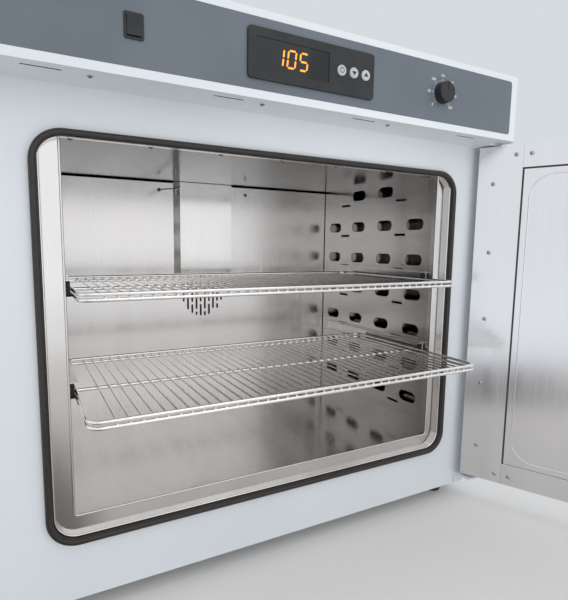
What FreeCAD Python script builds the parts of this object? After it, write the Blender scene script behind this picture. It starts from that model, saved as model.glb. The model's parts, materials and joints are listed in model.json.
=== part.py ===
import FreeCAD, Part
import math
import os

V = FreeCAD.Vector

# Laboratory forced-convection oven, free-standing, door open and shelves drawn out.
# Frame: +X to the right of someone facing the oven, +Y into the oven, +Z up,
# origin on the floor under the centre of the cabinet. All sizes in millimetres.

# Cabinet: walls round the chamber
SIDE_WALL = 145.5
REAR_WALL = 238.0
TOP_WALL = 70.0
FOOT_H = 35.0
HOUSING_H = 135.0
OVERHANG = 82.0
SHEET = 1.2
EDGE_R = 20.0
FRAME_WRAP = 50.0
FOOT_SET = 60.0
FOOT_PAD_R = 24.0
FOOT_PAD_H = 12.0
FOOT_STEM_R = 8.0
RUNNING = 0.05
FIT = 0.3

# Vent slots and screws in the ledge under the housing, vent rows in the rear panel
VENT_IN = (120.5, 142.0)
VENT_SET = 60.0
VENT_L = 52.0
VENT_W = 4.0
LEDGE_SCREW_SHIFT = 62.5
LEDGE_SCREW_SET = 55.0
REAR_VENT_L = 60.0
REAR_VENT_W = 6.0
REAR_VENT_PITCH_X = 76.0
REAR_VENT_PITCH_Z = 15.0

# Heated chamber
CHAMBER_W = 789.0
CHAMBER_H = 614.0
CHAMBER_D = 462.0
FLOOR_H = 146.0
PANEL_STEP = 1.5
DUCT = 29.0
PLENUM = 61.0
LINER_T = 1.5
REAR_WOOL = 60.0
CEILING_SCREW_X = 7.0
CEILING_SCREW_IN = 10.5
CEILING_SCREW_SET = 40.0

# Surround between the chamber and the gasket
SURROUND_W = 34.5
TOP_LAP = 5.6
RIDGE_W = 4.0
STRIP_SET = 8.0
LIP_END = 19.0
LIP_R = 4.5

# Door gasket
GASKET_BAND = 11.0
GASKET_PROUD = 11.4
GASKET_CORNER = 50.0

# Air slots and hook slots of the side panels
SLOT_L = 57.0
SLOT_W = 27.0
SLOT_FIRST_Y = 74.0
SLOT_LAST_Y = 58.0
SLOT_TOP = 23.8
SLOT_LOW = 73.6
SLOT_COLUMNS = 4
SLOT_ROWS = 7
HOOK_SLOT_L = 39.0
HOOK_SLOT_H = 6.0
HOOK_DROP = 24.2
HOOK_FRONT = 125.0
HOOK_REAR = 109.0

# Back wall of the chamber
COVER_W = 147.0
COVER_PROUD = 12.0
COVER_SLOPE = 15.0
COVER_X = 0.0
COVER_LIFT = 6.0
TOP_GAP = 4.0
COVER_SLIT_L = 14.0
COVER_SLIT_W = 3.0
COVER_SLIT_DROP = 26.0
GRILLE_R = 57.0
GRILLE_PITCH = 12.2
GRILLE_SLOT_W = 5.4
GRILLE_SLOT_L = 34.0
GRILLE_BAR = 7.0
FAN_LIFT = 2.0
FAN_SHIFT = -8.0
PROBE_HOLE_R = 4.5
PROBE_DROP = 23.3
PROBE_X = (-125.5, 121.3)
PROBE_R = 1.5
PROBE_REACH = 182.0
PROBE_SAG = 12.0

# Fan, motor and heater
SHAFT_R = 6.0
IMPELLER_R = 85.0
BLADE_COUNT = 16
BLADE_L = 28.0
BLADE_ANGLE = 30.0
HUB_WALL = 8.0
HEATER_R = 112.0
HEATER_WIRE_R = 4.0
HEATER_GAP_DEG = 26.0
MOTOR_PLATE_W = 120.0
MOTOR_PLATE_T = 4.0
MOTOR_R = 48.0
MOTOR_L = 76.0

# Shelves and their rails
SHELF_SIDE = 8.15
SHELF_REAR = 54.3
SHELF_WIRE = 6.0
GRID_WIRE = 3.6
GRID_PITCH = 18.2
GRID_MARGIN = 36.0
WELD = 0.5
SHELF_CORNER = 18.0
SHELF_ROWS = (2, 4)
SHELF_UNDER = (15.8, 14.0)
SHELF_OUT = (68.0, 138.5)
RAIL_FRONT = 30.0
RAIL_REAR = 31.0
RAIL_DEPTH = 16.0
RAIL_T = 1.5
RAIL_GUARD = 12.5
STOP_L = 8.0

# Door
DOOR_T = 71.0
DOOR_GAP = 9.0
DOOR_TOP_GAP = 8.0
DOOR_SILL = 38.0
DOOR_EDGE_R = 6.0
HINGE_SIDE = 20.0
HINGE_OUT = 31.0
DOOR_OPEN = 115.5
STRIP_W = 92.0
STRIP_T = 1.5
CROSS_H = 50.0
PANEL_DROP = 3.0
PANEL_GAP = 3.5
PANEL_T = 1.2
PIN_R = 5.0
BUSH_WALL = 4.0
BUSH_L = 16.0
BRACKET_T = 4.0
BRACKET_W = 40.0
BRACKET_END = 14.0
BRACKET_REACH = 16.0
BEAD_IN = 13.0
STRIP_SCREW_IN = 33.5
STRIP_SCREW_HIGH = 82.2
STRIP_SCREW_LOW = 81.0
STRIP_SCREW_COUNT = 5
CORNER_SCREW_IN = 78.0
CORNER_SCREW_UP = 21.0
CROSS_SCREW_IN = 108.0
CROSS_SCREW_COUNT = 7

# Handle and latch
HANDLE_IN = 39.0
SPINDLE_R = 6.0
ROSE_R = 26.0
ROSE_T = 8.0
HUB_R = 16.0
HUB_L = 26.0
LEVER_L = 120.0
LEVER_H = 26.0
LEVER_T = 16.0
LEVER_EDGE_R = 5.5
LATCH_HALF = 19.0
LATCH_W = 10.0
LATCH_T = 6.0
KEEPER_T = 3.0

# Screws with domed heads
HEAD_R = 4.8
HEAD_H = 2.8
SHANK_R = 2.0
SHANK_L = 8.0

# Controls on the fascia
FASCIA_T = 2.0
FASCIA_MARGIN = 12.0
BEZEL_W = 250.0
BEZEL_H = 78.0
BEZEL_PROUD = 4.0
BEZEL_RIM = 4.0
CONTROLLER_DEPTH = 60.0
WINDOW_W = 140.0
WINDOW_H = 50.0
WINDOW_X = -42.0
KEY_X = 53.0
KEY_ROOM = 12.0
KEY_R = 9.0
KEY_PITCH = 26.0
KEY_PROUD = 3.0
DIAL_R = 20.0
DIAL_H = 16.0
DIAL_SHAFT_R = 3.0
DIAL_IN = 240.0
ROCKER_W = 22.0
ROCKER_H = 30.0
ROCKER_PLAY = 2.0
ROCKER_PIN_R = 1.5
ROCKER_PIN_IN = 3.0
ROCKER_PROUD = 5.0
SWITCH_WALL = 0.7
SWITCH_DEPTH = 24.0
BOARD_W = 240.0
BOARD_SHIFT = 60.0
BOARD_Y = (-120.0, 40.0)
BOARD_T = 1.6
POST_H = 10.0
POST_R = 4.0

# Exhaust stub and mains inlet at the rear
EXHAUST_IN = 94.5
EXHAUST_DROP = 95.0
EXHAUST_R = 26.0
EXHAUST_WALL = 1.5
EXHAUST_OUT = 50.0
FLAP_SPINDLE_R = 2.5
FLAP_T = 1.5
FLAP_PLAY = 0.6
INLET_IN = 120.0
INLET_UP = 75.0
INLET_W = 48.0
INLET_H = 60.0
INLET_DEPTH = 28.0
INLET_RECESS = 18.0
BLADE_PITCH = 9.0

# Sizes and places that follow
CABINET_W = CHAMBER_W + 2 * SIDE_WALL
CABINET_D = CHAMBER_D + REAR_WALL
CABINET_H = FOOT_H + FLOOR_H + CHAMBER_H + TOP_WALL + HOUSING_H
FRONT = -CABINET_D / 2
REAR = CABINET_D / 2
SIDE = CABINET_W / 2
LEDGE_Z = CABINET_H - HOUSING_H
HOUSING_FRONT = FRONT - OVERHANG
VENT_PITCH = (CABINET_W - VENT_IN[0] - VENT_IN[1]) / 3
VENT_X = [VENT_IN[0] - SIDE + k * VENT_PITCH for k in range(4)]
FLOOR_Z = FOOT_H + FLOOR_H
CEILING_Z = FLOOR_Z + CHAMBER_H
LIP_X = CHAMBER_W / 2
PANEL_X = LIP_X + PANEL_STEP
LINER_X = PANEL_X + SHEET + DUCT
BACK = FRONT + CHAMBER_D
LINER_BACK = BACK + PLENUM
WOOL_BACK = LINER_BACK + LINER_T + REAR_WOOL
SEAL_X = LIP_X + SURROUND_W
SEAL_LOW = FLOOR_Z - SURROUND_W
SEAL_HIGH = CEILING_Z - TOP_LAP
SEAL_R = GASKET_CORNER - GASKET_BAND
CEILING_SCREW_PITCH = (CHAMBER_W - 2 * CEILING_SCREW_IN) / 6
SLOT_PITCH_Y = (CHAMBER_D - SLOT_FIRST_Y - SLOT_LAST_Y) / (SLOT_COLUMNS - 1)
SLOT_PITCH_Z = (CHAMBER_H - SLOT_TOP - SLOT_LOW) / (SLOT_ROWS - 1)
HOOK_SPAN = CHAMBER_D - HOOK_FRONT - HOOK_REAR
FAN_X = COVER_X + FAN_SHIFT
FAN_Z = (FLOOR_Z + CEILING_Z) / 2 + FAN_LIFT
PROBE_Z = CEILING_Z - PROBE_DROP
DOOR_LOW = FOOT_H + DOOR_SILL
DOOR_HIGH = LEDGE_Z - DOOR_TOP_GAP
DOOR_IN = FRONT - DOOR_GAP
DOOR_OUT = DOOR_IN - DOOR_T
TRAY_IN = DOOR_IN - STRIP_T
HINGE_X = SIDE - HINGE_SIDE
HINGE_Y = FRONT - HINGE_OUT
HANDLE_X = HANDLE_IN - SIDE
STRIP_SCREW_SPAN = DOOR_HIGH - DOOR_LOW - STRIP_SCREW_LOW - STRIP_SCREW_HIGH
STRIP_SCREW_PITCH = STRIP_SCREW_SPAN / (STRIP_SCREW_COUNT - 1)
HANDLE_Z = DOOR_LOW + STRIP_SCREW_LOW + 2.5 * STRIP_SCREW_PITCH
FASCIA_IN = HOUSING_FRONT + FASCIA_T
FASCIA_MID = LEDGE_Z + SHEET + (HOUSING_H - SHEET) / 2
DIAL_X = SIDE - DIAL_IN
ROCKER_X = DIAL_IN - SIDE
SHELF_W = CHAMBER_W - 2 * SHELF_SIDE
SHELF_D = CHAMBER_D - SHELF_REAR
RAIL_L = CHAMBER_D - RAIL_FRONT - RAIL_REAR
FRAME_STEP = SHELF_WIRE + GRID_WIRE - 2 * WELD
SHELF_STACK = SHELF_WIRE + FRAME_STEP
PANEL_LOW = DOOR_LOW + CROSS_H
PANEL_HIGH = DOOR_HIGH - CROSS_H
PANEL_FRONT = DOOR_IN - PANEL_DROP
BRACKET_X = (HINGE_X + BRACKET_END - BRACKET_W, HINGE_X + BRACKET_END)
BRACKET_FRONT = HINGE_Y - BRACKET_REACH
ROCKER_PIN_Y = HOUSING_FRONT + ROCKER_PIN_IN
BOARD_X = (BOARD_SHIFT - BOARD_W / 2, BOARD_SHIFT + BOARD_W / 2)
EXHAUST_X = LIP_X - EXHAUST_IN
EXHAUST_Z = CEILING_Z - EXHAUST_DROP
FLAP_Y = REAR + EXHAUST_OUT / 2
INLET_X = INLET_IN - SIDE
INLET_Z = FOOT_H + INLET_UP


# Basic solids

def block(x, y, z):
    """A box between two corners, each argument a (low, high) pair."""
    return Part.makeBox(x[1] - x[0], y[1] - y[0], z[1] - z[0], V(x[0], y[0], z[0]))


def rod(start, direction, radius, length):
    return Part.makeCylinder(radius, length, V(*start), V(*direction))


def join(shapes):
    first = shapes[0]
    if len(shapes) == 1:
        return first
    return first.multiFuse(shapes[1:]).removeSplitter()


def cut_all(shape, cutters):
    return shape.cut(Part.makeCompound(cutters)) if cutters else shape


def rounded_wire(low, high, radius, to_point):
    """A closed rectangle with rounded corners; to_point places its two coordinates."""
    (a0, b0), (a1, b1) = low, high
    corners = (
        ((a1 - radius, b0 + radius), -90.0),
        ((a1 - radius, b1 - radius), 0.0),
        ((a0 + radius, b1 - radius), 90.0),
        ((a0 + radius, b0 + radius), 180.0),
    )
    middle = to_point(0.56 * a0 + 0.44 * a1, b0)
    edges = []
    here = middle
    for (ca, cb), start in corners:
        points = []
        for angle in (start, start + 45.0, start + 90.0):
            t = math.radians(angle)
            points.append(to_point(ca + radius * math.cos(t), cb + radius * math.sin(t)))
        edges.append(Part.makeLine(here, points[0]))
        edges.append(Part.Arc(*points).toShape())
        here = points[2]
    edges.append(Part.makeLine(here, middle))
    return Part.Wire(edges)


def upright_plate(x, z, radius, y):
    """A plate facing the front, its corners rounded in the XZ plane."""
    wire = rounded_wire((x[0], z[0]), (x[1], z[1]), radius, lambda a, b: V(a, y[0], b))
    return Part.Face(wire).extrude(V(0, y[1] - y[0], 0))


def upright_ring(x, z, radius, band, y):
    """A rectangular ring facing the front; x, z and radius are those of its inner edge."""
    outer = upright_plate((x[0] - band, x[1] + band), (z[0] - band, z[1] + band), radius + band, y)
    return outer.cut(upright_plate(x, z, radius, (y[0] - 1, y[1] + 1)))


def wire_loop(path, radius):
    """A round wire bent along a closed flat path that starts on a straight run."""
    start = path.Edges[0]
    centre = start.valueAt(start.FirstParameter)
    heading = start.tangentAt(start.FirstParameter)
    section = Part.Wire(Part.makeCircle(radius, centre, heading))
    return path.makePipeShell([section], True, False)


def slotted(centre, along, normal, length, width, depth):
    """A slot cutter with round ends: its centre, its long direction, and the sheet's normal."""
    across = along.cross(normal)
    straight = length - width
    lows = []
    highs = []
    for i in range(3):
        half = abs(along[i]) * straight / 2 + abs(across[i]) * width / 2 + abs(normal[i]) * depth / 2
        lows.append(centre[i] - half)
        highs.append(centre[i] + half)
    pieces = [block(*zip(lows, highs))]
    for side in (-1, 1):
        foot = centre + along * (side * straight / 2) - normal * (depth / 2)
        pieces.append(Part.makeCylinder(width / 2, depth, foot, normal))
    return join(pieces)


def cabinet_plan(inset, y_front, z):
    """A block that fills the cabinet's outline, set in by inset, its two front edges rounded."""
    solid = block((inset - SIDE, SIDE - inset), (y_front + inset, REAR - inset), z)
    edges = []
    for edge in solid.Edges:
        a, b = edge.Vertexes[0].Point, edge.Vertexes[1].Point
        if abs(a.z - b.z) > 1 and abs(a.y - y_front - inset) < 1e-6:
            edges.append(edge)
    return solid.makeFillet(EDGE_R - inset, edges)


def domed_screw(at, out):
    """A screw seated at a point of a sheet's face; out points away from the sheet."""
    crown = (HEAD_R ** 2 + HEAD_H ** 2) / (2 * HEAD_H)
    middle = math.radians(90) - math.asin(HEAD_R / crown) / 2
    arc = Part.Arc(
        V(HEAD_R, 0, 0),
        V(crown * math.cos(middle), 0, HEAD_H - crown + crown * math.sin(middle)),
        V(0, 0, HEAD_H),
    ).toShape()
    edges = [
        Part.makeLine(V(0, 0, -SHANK_L), V(SHANK_R, 0, -SHANK_L)),
        Part.makeLine(V(SHANK_R, 0, -SHANK_L), V(SHANK_R, 0, 0)),
        Part.makeLine(V(SHANK_R, 0, 0), V(HEAD_R, 0, 0)),
        arc,
        Part.makeLine(V(0, 0, HEAD_H), V(0, 0, -SHANK_L)),
    ]
    screw = Part.Face(Part.Wire(edges)).revolve(V(0, 0, 0), V(0, 0, 1), 360)
    screw.Placement = FreeCAD.Placement(V(*at), FreeCAD.Rotation(V(0, 0, 1), out))
    return screw


def screw_hole(at, out):
    return Part.makeCylinder(SHANK_R + RUNNING, SHANK_L + 2, V(*at) - out * (SHANK_L + 1), out)


# Pieces of the casing

def base_pan():
    return cabinet_plan(SHEET, FRONT, (FOOT_H, FOOT_H + SHEET))


def levelling_feet():
    """Four rubber feet, each a tapered pad, a stem and a lock nut."""
    feet = []
    for x in (FOOT_SET - SIDE, SIDE - FOOT_SET):
        for y in (FRONT + FOOT_SET, REAR - FOOT_SET):
            pad = Part.makeCone(FOOT_PAD_R, FOOT_PAD_R - 4, FOOT_PAD_H, V(x, y, 0))
            stem = rod((x, y, FOOT_PAD_H), (0, 0, 1), FOOT_STEM_R, FOOT_H - FOOT_PAD_H)
            nut = rod((x, y, FOOT_H - 9), (0, 0, 1), FOOT_STEM_R + 5, 6)
            feet.append(join([pad, stem, nut]))
    return Part.makeCompound(feet)


def keeper_slot(depth):
    centre = V(HANDLE_X, FRONT, HANDLE_Z)
    return slotted(centre, V(0, 0, 1), V(0, 1, 0), 2 * LATCH_HALF + 10, LATCH_W + 6, depth)


def front_frame():
    shell = cabinet_plan(0, FRONT, (FOOT_H, LEDGE_Z))
    core = cabinet_plan(SHEET, FRONT, (FOOT_H - 1, LEDGE_Z + 1))
    behind = block((-SIDE - 1, SIDE + 1), (FRONT + FRAME_WRAP, REAR + 1), (0, CABINET_H))
    edge = GASKET_BAND / 2
    opening = upright_plate(
        (-SEAL_X - edge, SEAL_X + edge), (SEAL_LOW - edge, SEAL_HIGH + edge), SEAL_R + edge,
        (FRONT - 1, FRONT + EDGE_R),
    )
    return shell.cut(core).cut(behind).cut(opening).cut(keeper_slot(4 * SHEET))


def side_panel(side):
    x = sorted((side * SIDE, side * (SIDE - SHEET)))
    return block(x, (FRONT + FRAME_WRAP, REAR), (FOOT_H, LEDGE_Z))


def rear_panel():
    panel = block((SHEET - SIDE, SIDE - SHEET), (REAR - SHEET, REAR), (FOOT_H + SHEET, LEDGE_Z))
    cutters = [
        rod((EXHAUST_X, REAR - 10, EXHAUST_Z), (0, 1, 0), EXHAUST_R + FIT, 20),
        block(
            (INLET_X - INLET_W / 2 - FIT, INLET_X + INLET_W / 2 + FIT), (REAR - 10, REAR + 10),
            (INLET_Z - INLET_H / 2 - FIT, INLET_Z + INLET_H / 2 + FIT),
        ),
    ]
    for column in (-1.5, -0.5, 0.5, 1.5):
        for row in range(-6, 7):
            x = FAN_X + column * REAR_VENT_PITCH_X
            centre = V(x, REAR, FAN_Z + row * REAR_VENT_PITCH_Z)
            cutters.append(
                slotted(centre, V(1, 0, 0), V(0, 1, 0), REAR_VENT_L, REAR_VENT_W, 10)
            )
    return cut_all(panel, cutters)


def ledge_screw_places():
    return [(x + LEDGE_SCREW_SHIFT, FRONT - LEDGE_SCREW_SET, LEDGE_Z) for x in VENT_X[:3]]


def housing_floor():
    plate = cabinet_plan(0, HOUSING_FRONT, (LEDGE_Z, LEDGE_Z + SHEET))
    cutters = []
    for x in VENT_X:
        centre = V(x, FRONT - VENT_SET, LEDGE_Z)
        cutters.append(slotted(centre, V(1, 0, 0), V(0, 0, 1), VENT_L, VENT_W, 4 * SHEET))
    for place in ledge_screw_places():
        cutters.append(screw_hole(place, V(0, 0, -1)))
    return cut_all(plate, cutters)


def fascia_outline(grow, y):
    x = SIDE - EDGE_R - FASCIA_MARGIN + grow
    z = (LEDGE_Z + SHEET + FASCIA_MARGIN - grow, CABINET_H - FASCIA_MARGIN + grow)
    return upright_plate((-x, x), z, 6 + grow, y)


def control_housing():
    shell = cabinet_plan(0, HOUSING_FRONT, (LEDGE_Z + SHEET, CABINET_H))
    core = cabinet_plan(SHEET, HOUSING_FRONT, (LEDGE_Z, CABINET_H - SHEET))
    window = fascia_outline(FIT, (HOUSING_FRONT - 1, HOUSING_FRONT + EDGE_R))
    return shell.cut(core).cut(window)


def fascia_panel():
    plate = fascia_outline(0, (HOUSING_FRONT, FASCIA_IN))
    frame = fascia_outline(FASCIA_MARGIN / 2, (HOUSING_FRONT + SHEET, FASCIA_IN))
    plate = plate.fuse(frame).removeSplitter()
    y = (HOUSING_FRONT - 10, HOUSING_FRONT + 10)
    cutters = [
        block(
            (BEZEL_RIM - BEZEL_W / 2, BEZEL_W / 2 - BEZEL_RIM), y,
            (FASCIA_MID - BEZEL_H / 2 + BEZEL_RIM, FASCIA_MID + BEZEL_H / 2 - BEZEL_RIM),
        ),
        block(
            (ROCKER_X - ROCKER_W / 2 - FIT, ROCKER_X + ROCKER_W / 2 + FIT), y,
            (FASCIA_MID - ROCKER_H / 2 - FIT, FASCIA_MID + ROCKER_H / 2 + FIT),
        ),
        rod((DIAL_X, y[0], FASCIA_MID), (0, 1, 0), DIAL_SHAFT_R + RUNNING, 20),
    ]
    return cut_all(plate, cutters)


# Insulation

def rear_holes(extra):
    """What passes through the rear wall: shaft sleeve, heater legs, probes and exhaust."""
    y = LINER_BACK - 5
    depth = REAR - y
    holes = [rod((FAN_X, y, FAN_Z), (0, 1, 0), 2 * SHAFT_R + extra, depth)]
    for leg in heater_leg_places():
        holes.append(rod((leg[0], y, leg[1]), (0, 1, 0), HEATER_WIRE_R + extra, depth))
    for x in PROBE_X:
        holes.append(rod((x, y, PROBE_Z), (0, 1, 0), PROBE_R + 0.1 + extra, depth))
    return holes


def side_wool(side):
    x = sorted((side * (LINER_X + LINER_T), side * SIDE))
    wool = block(x, (FRONT + STRIP_SET + 2, WOOL_BACK), (FOOT_H + SHEET, LEDGE_Z))
    wool = wool.common(cabinet_plan(SHEET, FRONT, (0, CABINET_H)))
    if side < 0:
        pocket = rod((HANDLE_X, FRONT, HANDLE_Z), (0, 1, 0), LATCH_HALF + 4, 16)
        wool = wool.cut(pocket)
    return wool


def top_wool():
    x = LINER_X + LINER_T
    slab = block((-x, x), (FRONT + STRIP_SET + 2, WOOL_BACK), (CEILING_Z + LINER_T, LEDGE_Z))
    return cut_all(slab, [screw_hole(place, V(0, 0, -1)) for place in ceiling_screw_places()])


def bottom_wool():
    x = LINER_X + LINER_T
    return block((-x, x), (FRONT + STRIP_SET + 2, WOOL_BACK), (FOOT_H + SHEET, FLOOR_Z - LINER_T))


def rear_wool():
    x = LINER_X + LINER_T
    z = (FLOOR_Z - LINER_T, CEILING_Z + LINER_T)
    slab = block((-x, x), (LINER_BACK + LINER_T, WOOL_BACK), z)
    exhaust = rod((EXHAUST_X, 0, EXHAUST_Z), (0, 1, 0), EXHAUST_R + FIT, REAR)
    return cut_all(slab, rear_holes(1) + [exhaust])


def insulation():
    """Five slabs of mineral wool between the liner and the casing."""
    return Part.makeCompound(
        [side_wool(-1), side_wool(1), top_wool(), bottom_wool(), rear_wool()]
    )


def rear_bulkhead():
    sheet = block(
        (SHEET - SIDE, SIDE - SHEET), (WOOL_BACK, WOOL_BACK + SHEET), (FOOT_H + SHEET, LEDGE_Z)
    )
    exhaust = rod((EXHAUST_X, 0, EXHAUST_Z), (0, 1, 0), EXHAUST_R + FIT, REAR)
    return cut_all(sheet, rear_holes(FIT) + [exhaust])


# Chamber

def inner_liner():
    x = LINER_X + LINER_T
    start = FRONT + STRIP_SET + SHEET
    outer = block((-x, x), (start, LINER_BACK + LINER_T), (FLOOR_Z - LINER_T, CEILING_Z + LINER_T))
    inner = block((-LINER_X, LINER_X), (start - 1, LINER_BACK), (FLOOR_Z, CEILING_Z))
    lip_room = block(
        (-LIP_X - 4.2, LIP_X + 4.2), (start - 1, FRONT + LIP_END), (0, FLOOR_Z + 1)
    )
    shell = outer.cut(inner).cut(lip_room)
    exhaust = rod((EXHAUST_X, LINER_BACK - 5, EXHAUST_Z), (0, 1, 0), EXHAUST_R - EXHAUST_WALL, 20)
    bush = rod((FAN_X, LINER_BACK - 5, FAN_Z), (0, 1, 0), 2 * SHAFT_R + RUNNING, 20)
    cutters = rear_holes(RUNNING)[1:] + [exhaust, bush]
    for place in ceiling_screw_places():
        cutters.append(screw_hole(place, V(0, 0, -1)))
    return cut_all(shell, cutters)


def seal_plate(grow, y):
    """A plate that fills the gasket's inner outline, grown on all sides."""
    x = SEAL_X + grow
    return upright_plate((-x, x), (SEAL_LOW - grow, SEAL_HIGH + grow), SEAL_R + grow, y)


def valley_plate(grow, y):
    """The surround's inner outline: a ridge in from the gasket, but up to it at the top."""
    x = SEAL_X - RIDGE_W + grow
    z = (SEAL_LOW + RIDGE_W - grow, SEAL_HIGH + GASKET_CORNER)
    tall = upright_plate((-x, x), z, SEAL_R - RIDGE_W + grow, y)
    return tall.common(seal_plate(grow, y))


def front_surround():
    """The stainless frame round the mouth: rim under the gasket, ridge, valley, strip and lip."""
    low = SEAL_LOW + RIDGE_W
    rim = seal_plate(GASKET_BAND / 2 - FIT, (FRONT, FRONT + SHEET))
    strip_y = (FRONT + STRIP_SET, FRONT + STRIP_SET + SHEET)
    valley = valley_plate(SHEET, (FRONT, strip_y[1]))
    room = valley_plate(0, (FRONT - 1, strip_y[1] + 1))
    ridge_r = RIDGE_W / 2
    path = rounded_wire(
        (ridge_r - SEAL_X, SEAL_LOW + ridge_r), (SEAL_X - ridge_r, SEAL_HIGH + GASKET_CORNER),
        SEAL_R - ridge_r, lambda a, b: V(a, FRONT, b),
    )
    ridge = wire_loop(path, ridge_r).common(seal_plate(0, (FRONT - RIDGE_W, FRONT + RIDGE_W)))
    edge = LINER_X + LINER_T
    strip = block((-edge, edge), strip_y, (low - SHEET, CEILING_Z + LINER_T))
    above = block((-edge, edge), (FRONT, FRONT + LIP_END + 1), (SEAL_HIGH, CEILING_Z + 10))
    mouth = upright_plate(
        (-LIP_X, LIP_X), (FLOOR_Z, CEILING_Z), LIP_R, (FRONT, FRONT + LIP_END + 1)
    ).cut(above)
    bead_path = rounded_wire(
        (-LIP_X - 2, FLOOR_Z - 2), (LIP_X + 2, CEILING_Z + 2), LIP_R + 2,
        lambda a, b: V(a, strip_y[0], b),
    )
    bead = wire_loop(bead_path, 2.0).cut(above)
    lip = upright_ring(
        (-LIP_X, LIP_X), (FLOOR_Z, CEILING_Z + SHEET), LIP_R, SHEET,
        (strip_y[0], FRONT + LIP_END),
    )
    return join([rim.cut(room), valley.cut(room), ridge, strip.cut(mouth), bead, lip.cut(above)])


def ceiling_screw_places():
    places = []
    for i in range(-3, 4):
        x = CEILING_SCREW_X + i * CEILING_SCREW_PITCH
        places.append((x, FRONT + CEILING_SCREW_SET, CEILING_Z))
    return places


def cabinet_screws():
    """The domed screws in the chamber's ceiling and under the housing, all heads down."""
    places = ceiling_screw_places() + ledge_screw_places()
    return Part.makeCompound([domed_screw(p, V(0, 0, -1)) for p in places])


def hook_slot_rows():
    first = CEILING_Z - SLOT_TOP - HOOK_DROP
    return [first - row * SLOT_PITCH_Z for row in range(SLOT_ROWS)]


def air_panel(side):
    """A perforated side panel with flanges back to the liner at its front and rear edges."""
    face = sorted((side * PANEL_X, side * (PANEL_X + SHEET)))
    depth = sorted((side * PANEL_X, side * LINER_X))
    z = (FLOOR_Z, CEILING_Z)
    start = FRONT + LIP_END
    end = BACK - 3
    web = block(face, (start, end), z)
    cutters = []
    for row in range(SLOT_ROWS):
        height = CEILING_Z - SLOT_TOP - row * SLOT_PITCH_Z
        for column in range(SLOT_COLUMNS):
            if row == 0 and column in (0, SLOT_COLUMNS - 1):
                continue
            centre = V(side * PANEL_X, FRONT + SLOT_FIRST_Y + column * SLOT_PITCH_Y, height)
            cutters.append(slotted(centre, V(0, 1, 0), V(1, 0, 0), SLOT_L, SLOT_W, 10))
        for shift in (0, HOOK_SPAN):
            y = FRONT + HOOK_FRONT + shift
            cutters.append(
                block(
                    (side * PANEL_X - 5, side * PANEL_X + 5),
                    (y - HOOK_SLOT_L / 2, y + HOOK_SLOT_L / 2),
                    (height - HOOK_DROP - HOOK_SLOT_H / 2, height - HOOK_DROP + HOOK_SLOT_H / 2),
                )
            )
    front_flange = block(depth, (start, start + SHEET), z)
    rear_flange = block(depth, (end - SHEET, end), z)
    for row in range(SLOT_ROWS):
        height = CEILING_Z - SLOT_TOP - (row + 0.5) * SLOT_PITCH_Z
        if height > FLOOR_Z + SLOT_W:
            centre = V(side * (PANEL_X + DUCT / 2), end, height)
            rear_flange = rear_flange.cut(
                slotted(centre, V(0, 0, 1), V(0, 1, 0), SLOT_PITCH_Z - 14, DUCT / 2, 10)
            )
    return join([cut_all(web, cutters), front_flange, rear_flange])


def probe_hole(x):
    return rod((x, BACK - 5, PROBE_Z), (0, 1, 0), PROBE_HOLE_R, 20)


def back_panel():
    """One sheet across the chamber, short of the ceiling, with the fan's air-intake grille."""
    panel = block((-PANEL_X, PANEL_X), (BACK, BACK + SHEET), (FLOOR_Z, CEILING_Z - TOP_GAP))
    return cut_all(panel, [probe_hole(x) for x in PROBE_X] + grille_slots())


def grille_slots():
    cutters = []
    step = GRILLE_SLOT_L + GRILLE_BAR
    for i in range(10):
        dx = (i - 4.5) * GRILLE_PITCH
        reach = math.sqrt(GRILLE_R ** 2 - dx ** 2)
        shift = step / 2 if i % 2 else 0
        for k in range(-3, 4):
            low = max(k * step + shift - GRILLE_SLOT_L / 2, -reach)
            high = min(k * step + shift + GRILLE_SLOT_L / 2, reach)
            if high - low > 1.6 * GRILLE_SLOT_W:
                centre = V(FAN_X + dx, BACK, FAN_Z + (low + high) / 2)
                cutters.append(
                    slotted(centre, V(0, 0, 1), V(0, 1, 0), high - low, GRILLE_SLOT_W, 10)
                )
    return cutters


def centre_cover():
    """A shallow cover over the middle of the back panel, with one sloped and one square flank."""
    left, right = COVER_X - COVER_W / 2, COVER_X + COVER_W / 2
    face = BACK - COVER_PROUD
    foot = left - COVER_SLOPE
    low = FAN_Z + GRILLE_R + COVER_LIFT
    outline = [V(foot, BACK, low), V(left, face, low), V(right, face, low), V(right, BACK, low)]
    outer = Part.Face(Part.makePolygon(outline + outline[:1]))
    pan = outer.extrude(V(0, 0, CEILING_Z - 1 - low))
    wall = SHEET * math.hypot(COVER_SLOPE, COVER_PROUD) / COVER_PROUD
    inside = low + SHEET
    turn = foot + wall + (COVER_PROUD - SHEET) * COVER_SLOPE / COVER_PROUD
    hollow = [
        V(foot + wall, BACK, inside), V(turn, face + SHEET, inside),
        V(right - SHEET, face + SHEET, inside), V(right - SHEET, BACK, inside),
    ]
    room = Part.Face(Part.makePolygon(hollow + hollow[:1])).extrude(V(0, 0, CEILING_Z - low))
    at = V(left - COVER_SLOPE / 2, BACK - COVER_PROUD / 2, CEILING_Z - COVER_SLIT_DROP)
    slit = slotted(at, V(0, 0, 1), V(1, 0, 0), COVER_SLIT_L, COVER_SLIT_W, COVER_SLOPE)
    return pan.cut(room).cut(slit)


# Fan, motor, heater and probes

def fan_shaft():
    start = BACK + 4
    return rod((FAN_X, start, FAN_Z), (0, 1, 0), SHAFT_R, WOOL_BACK + SHEET + 26 - start)


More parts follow.
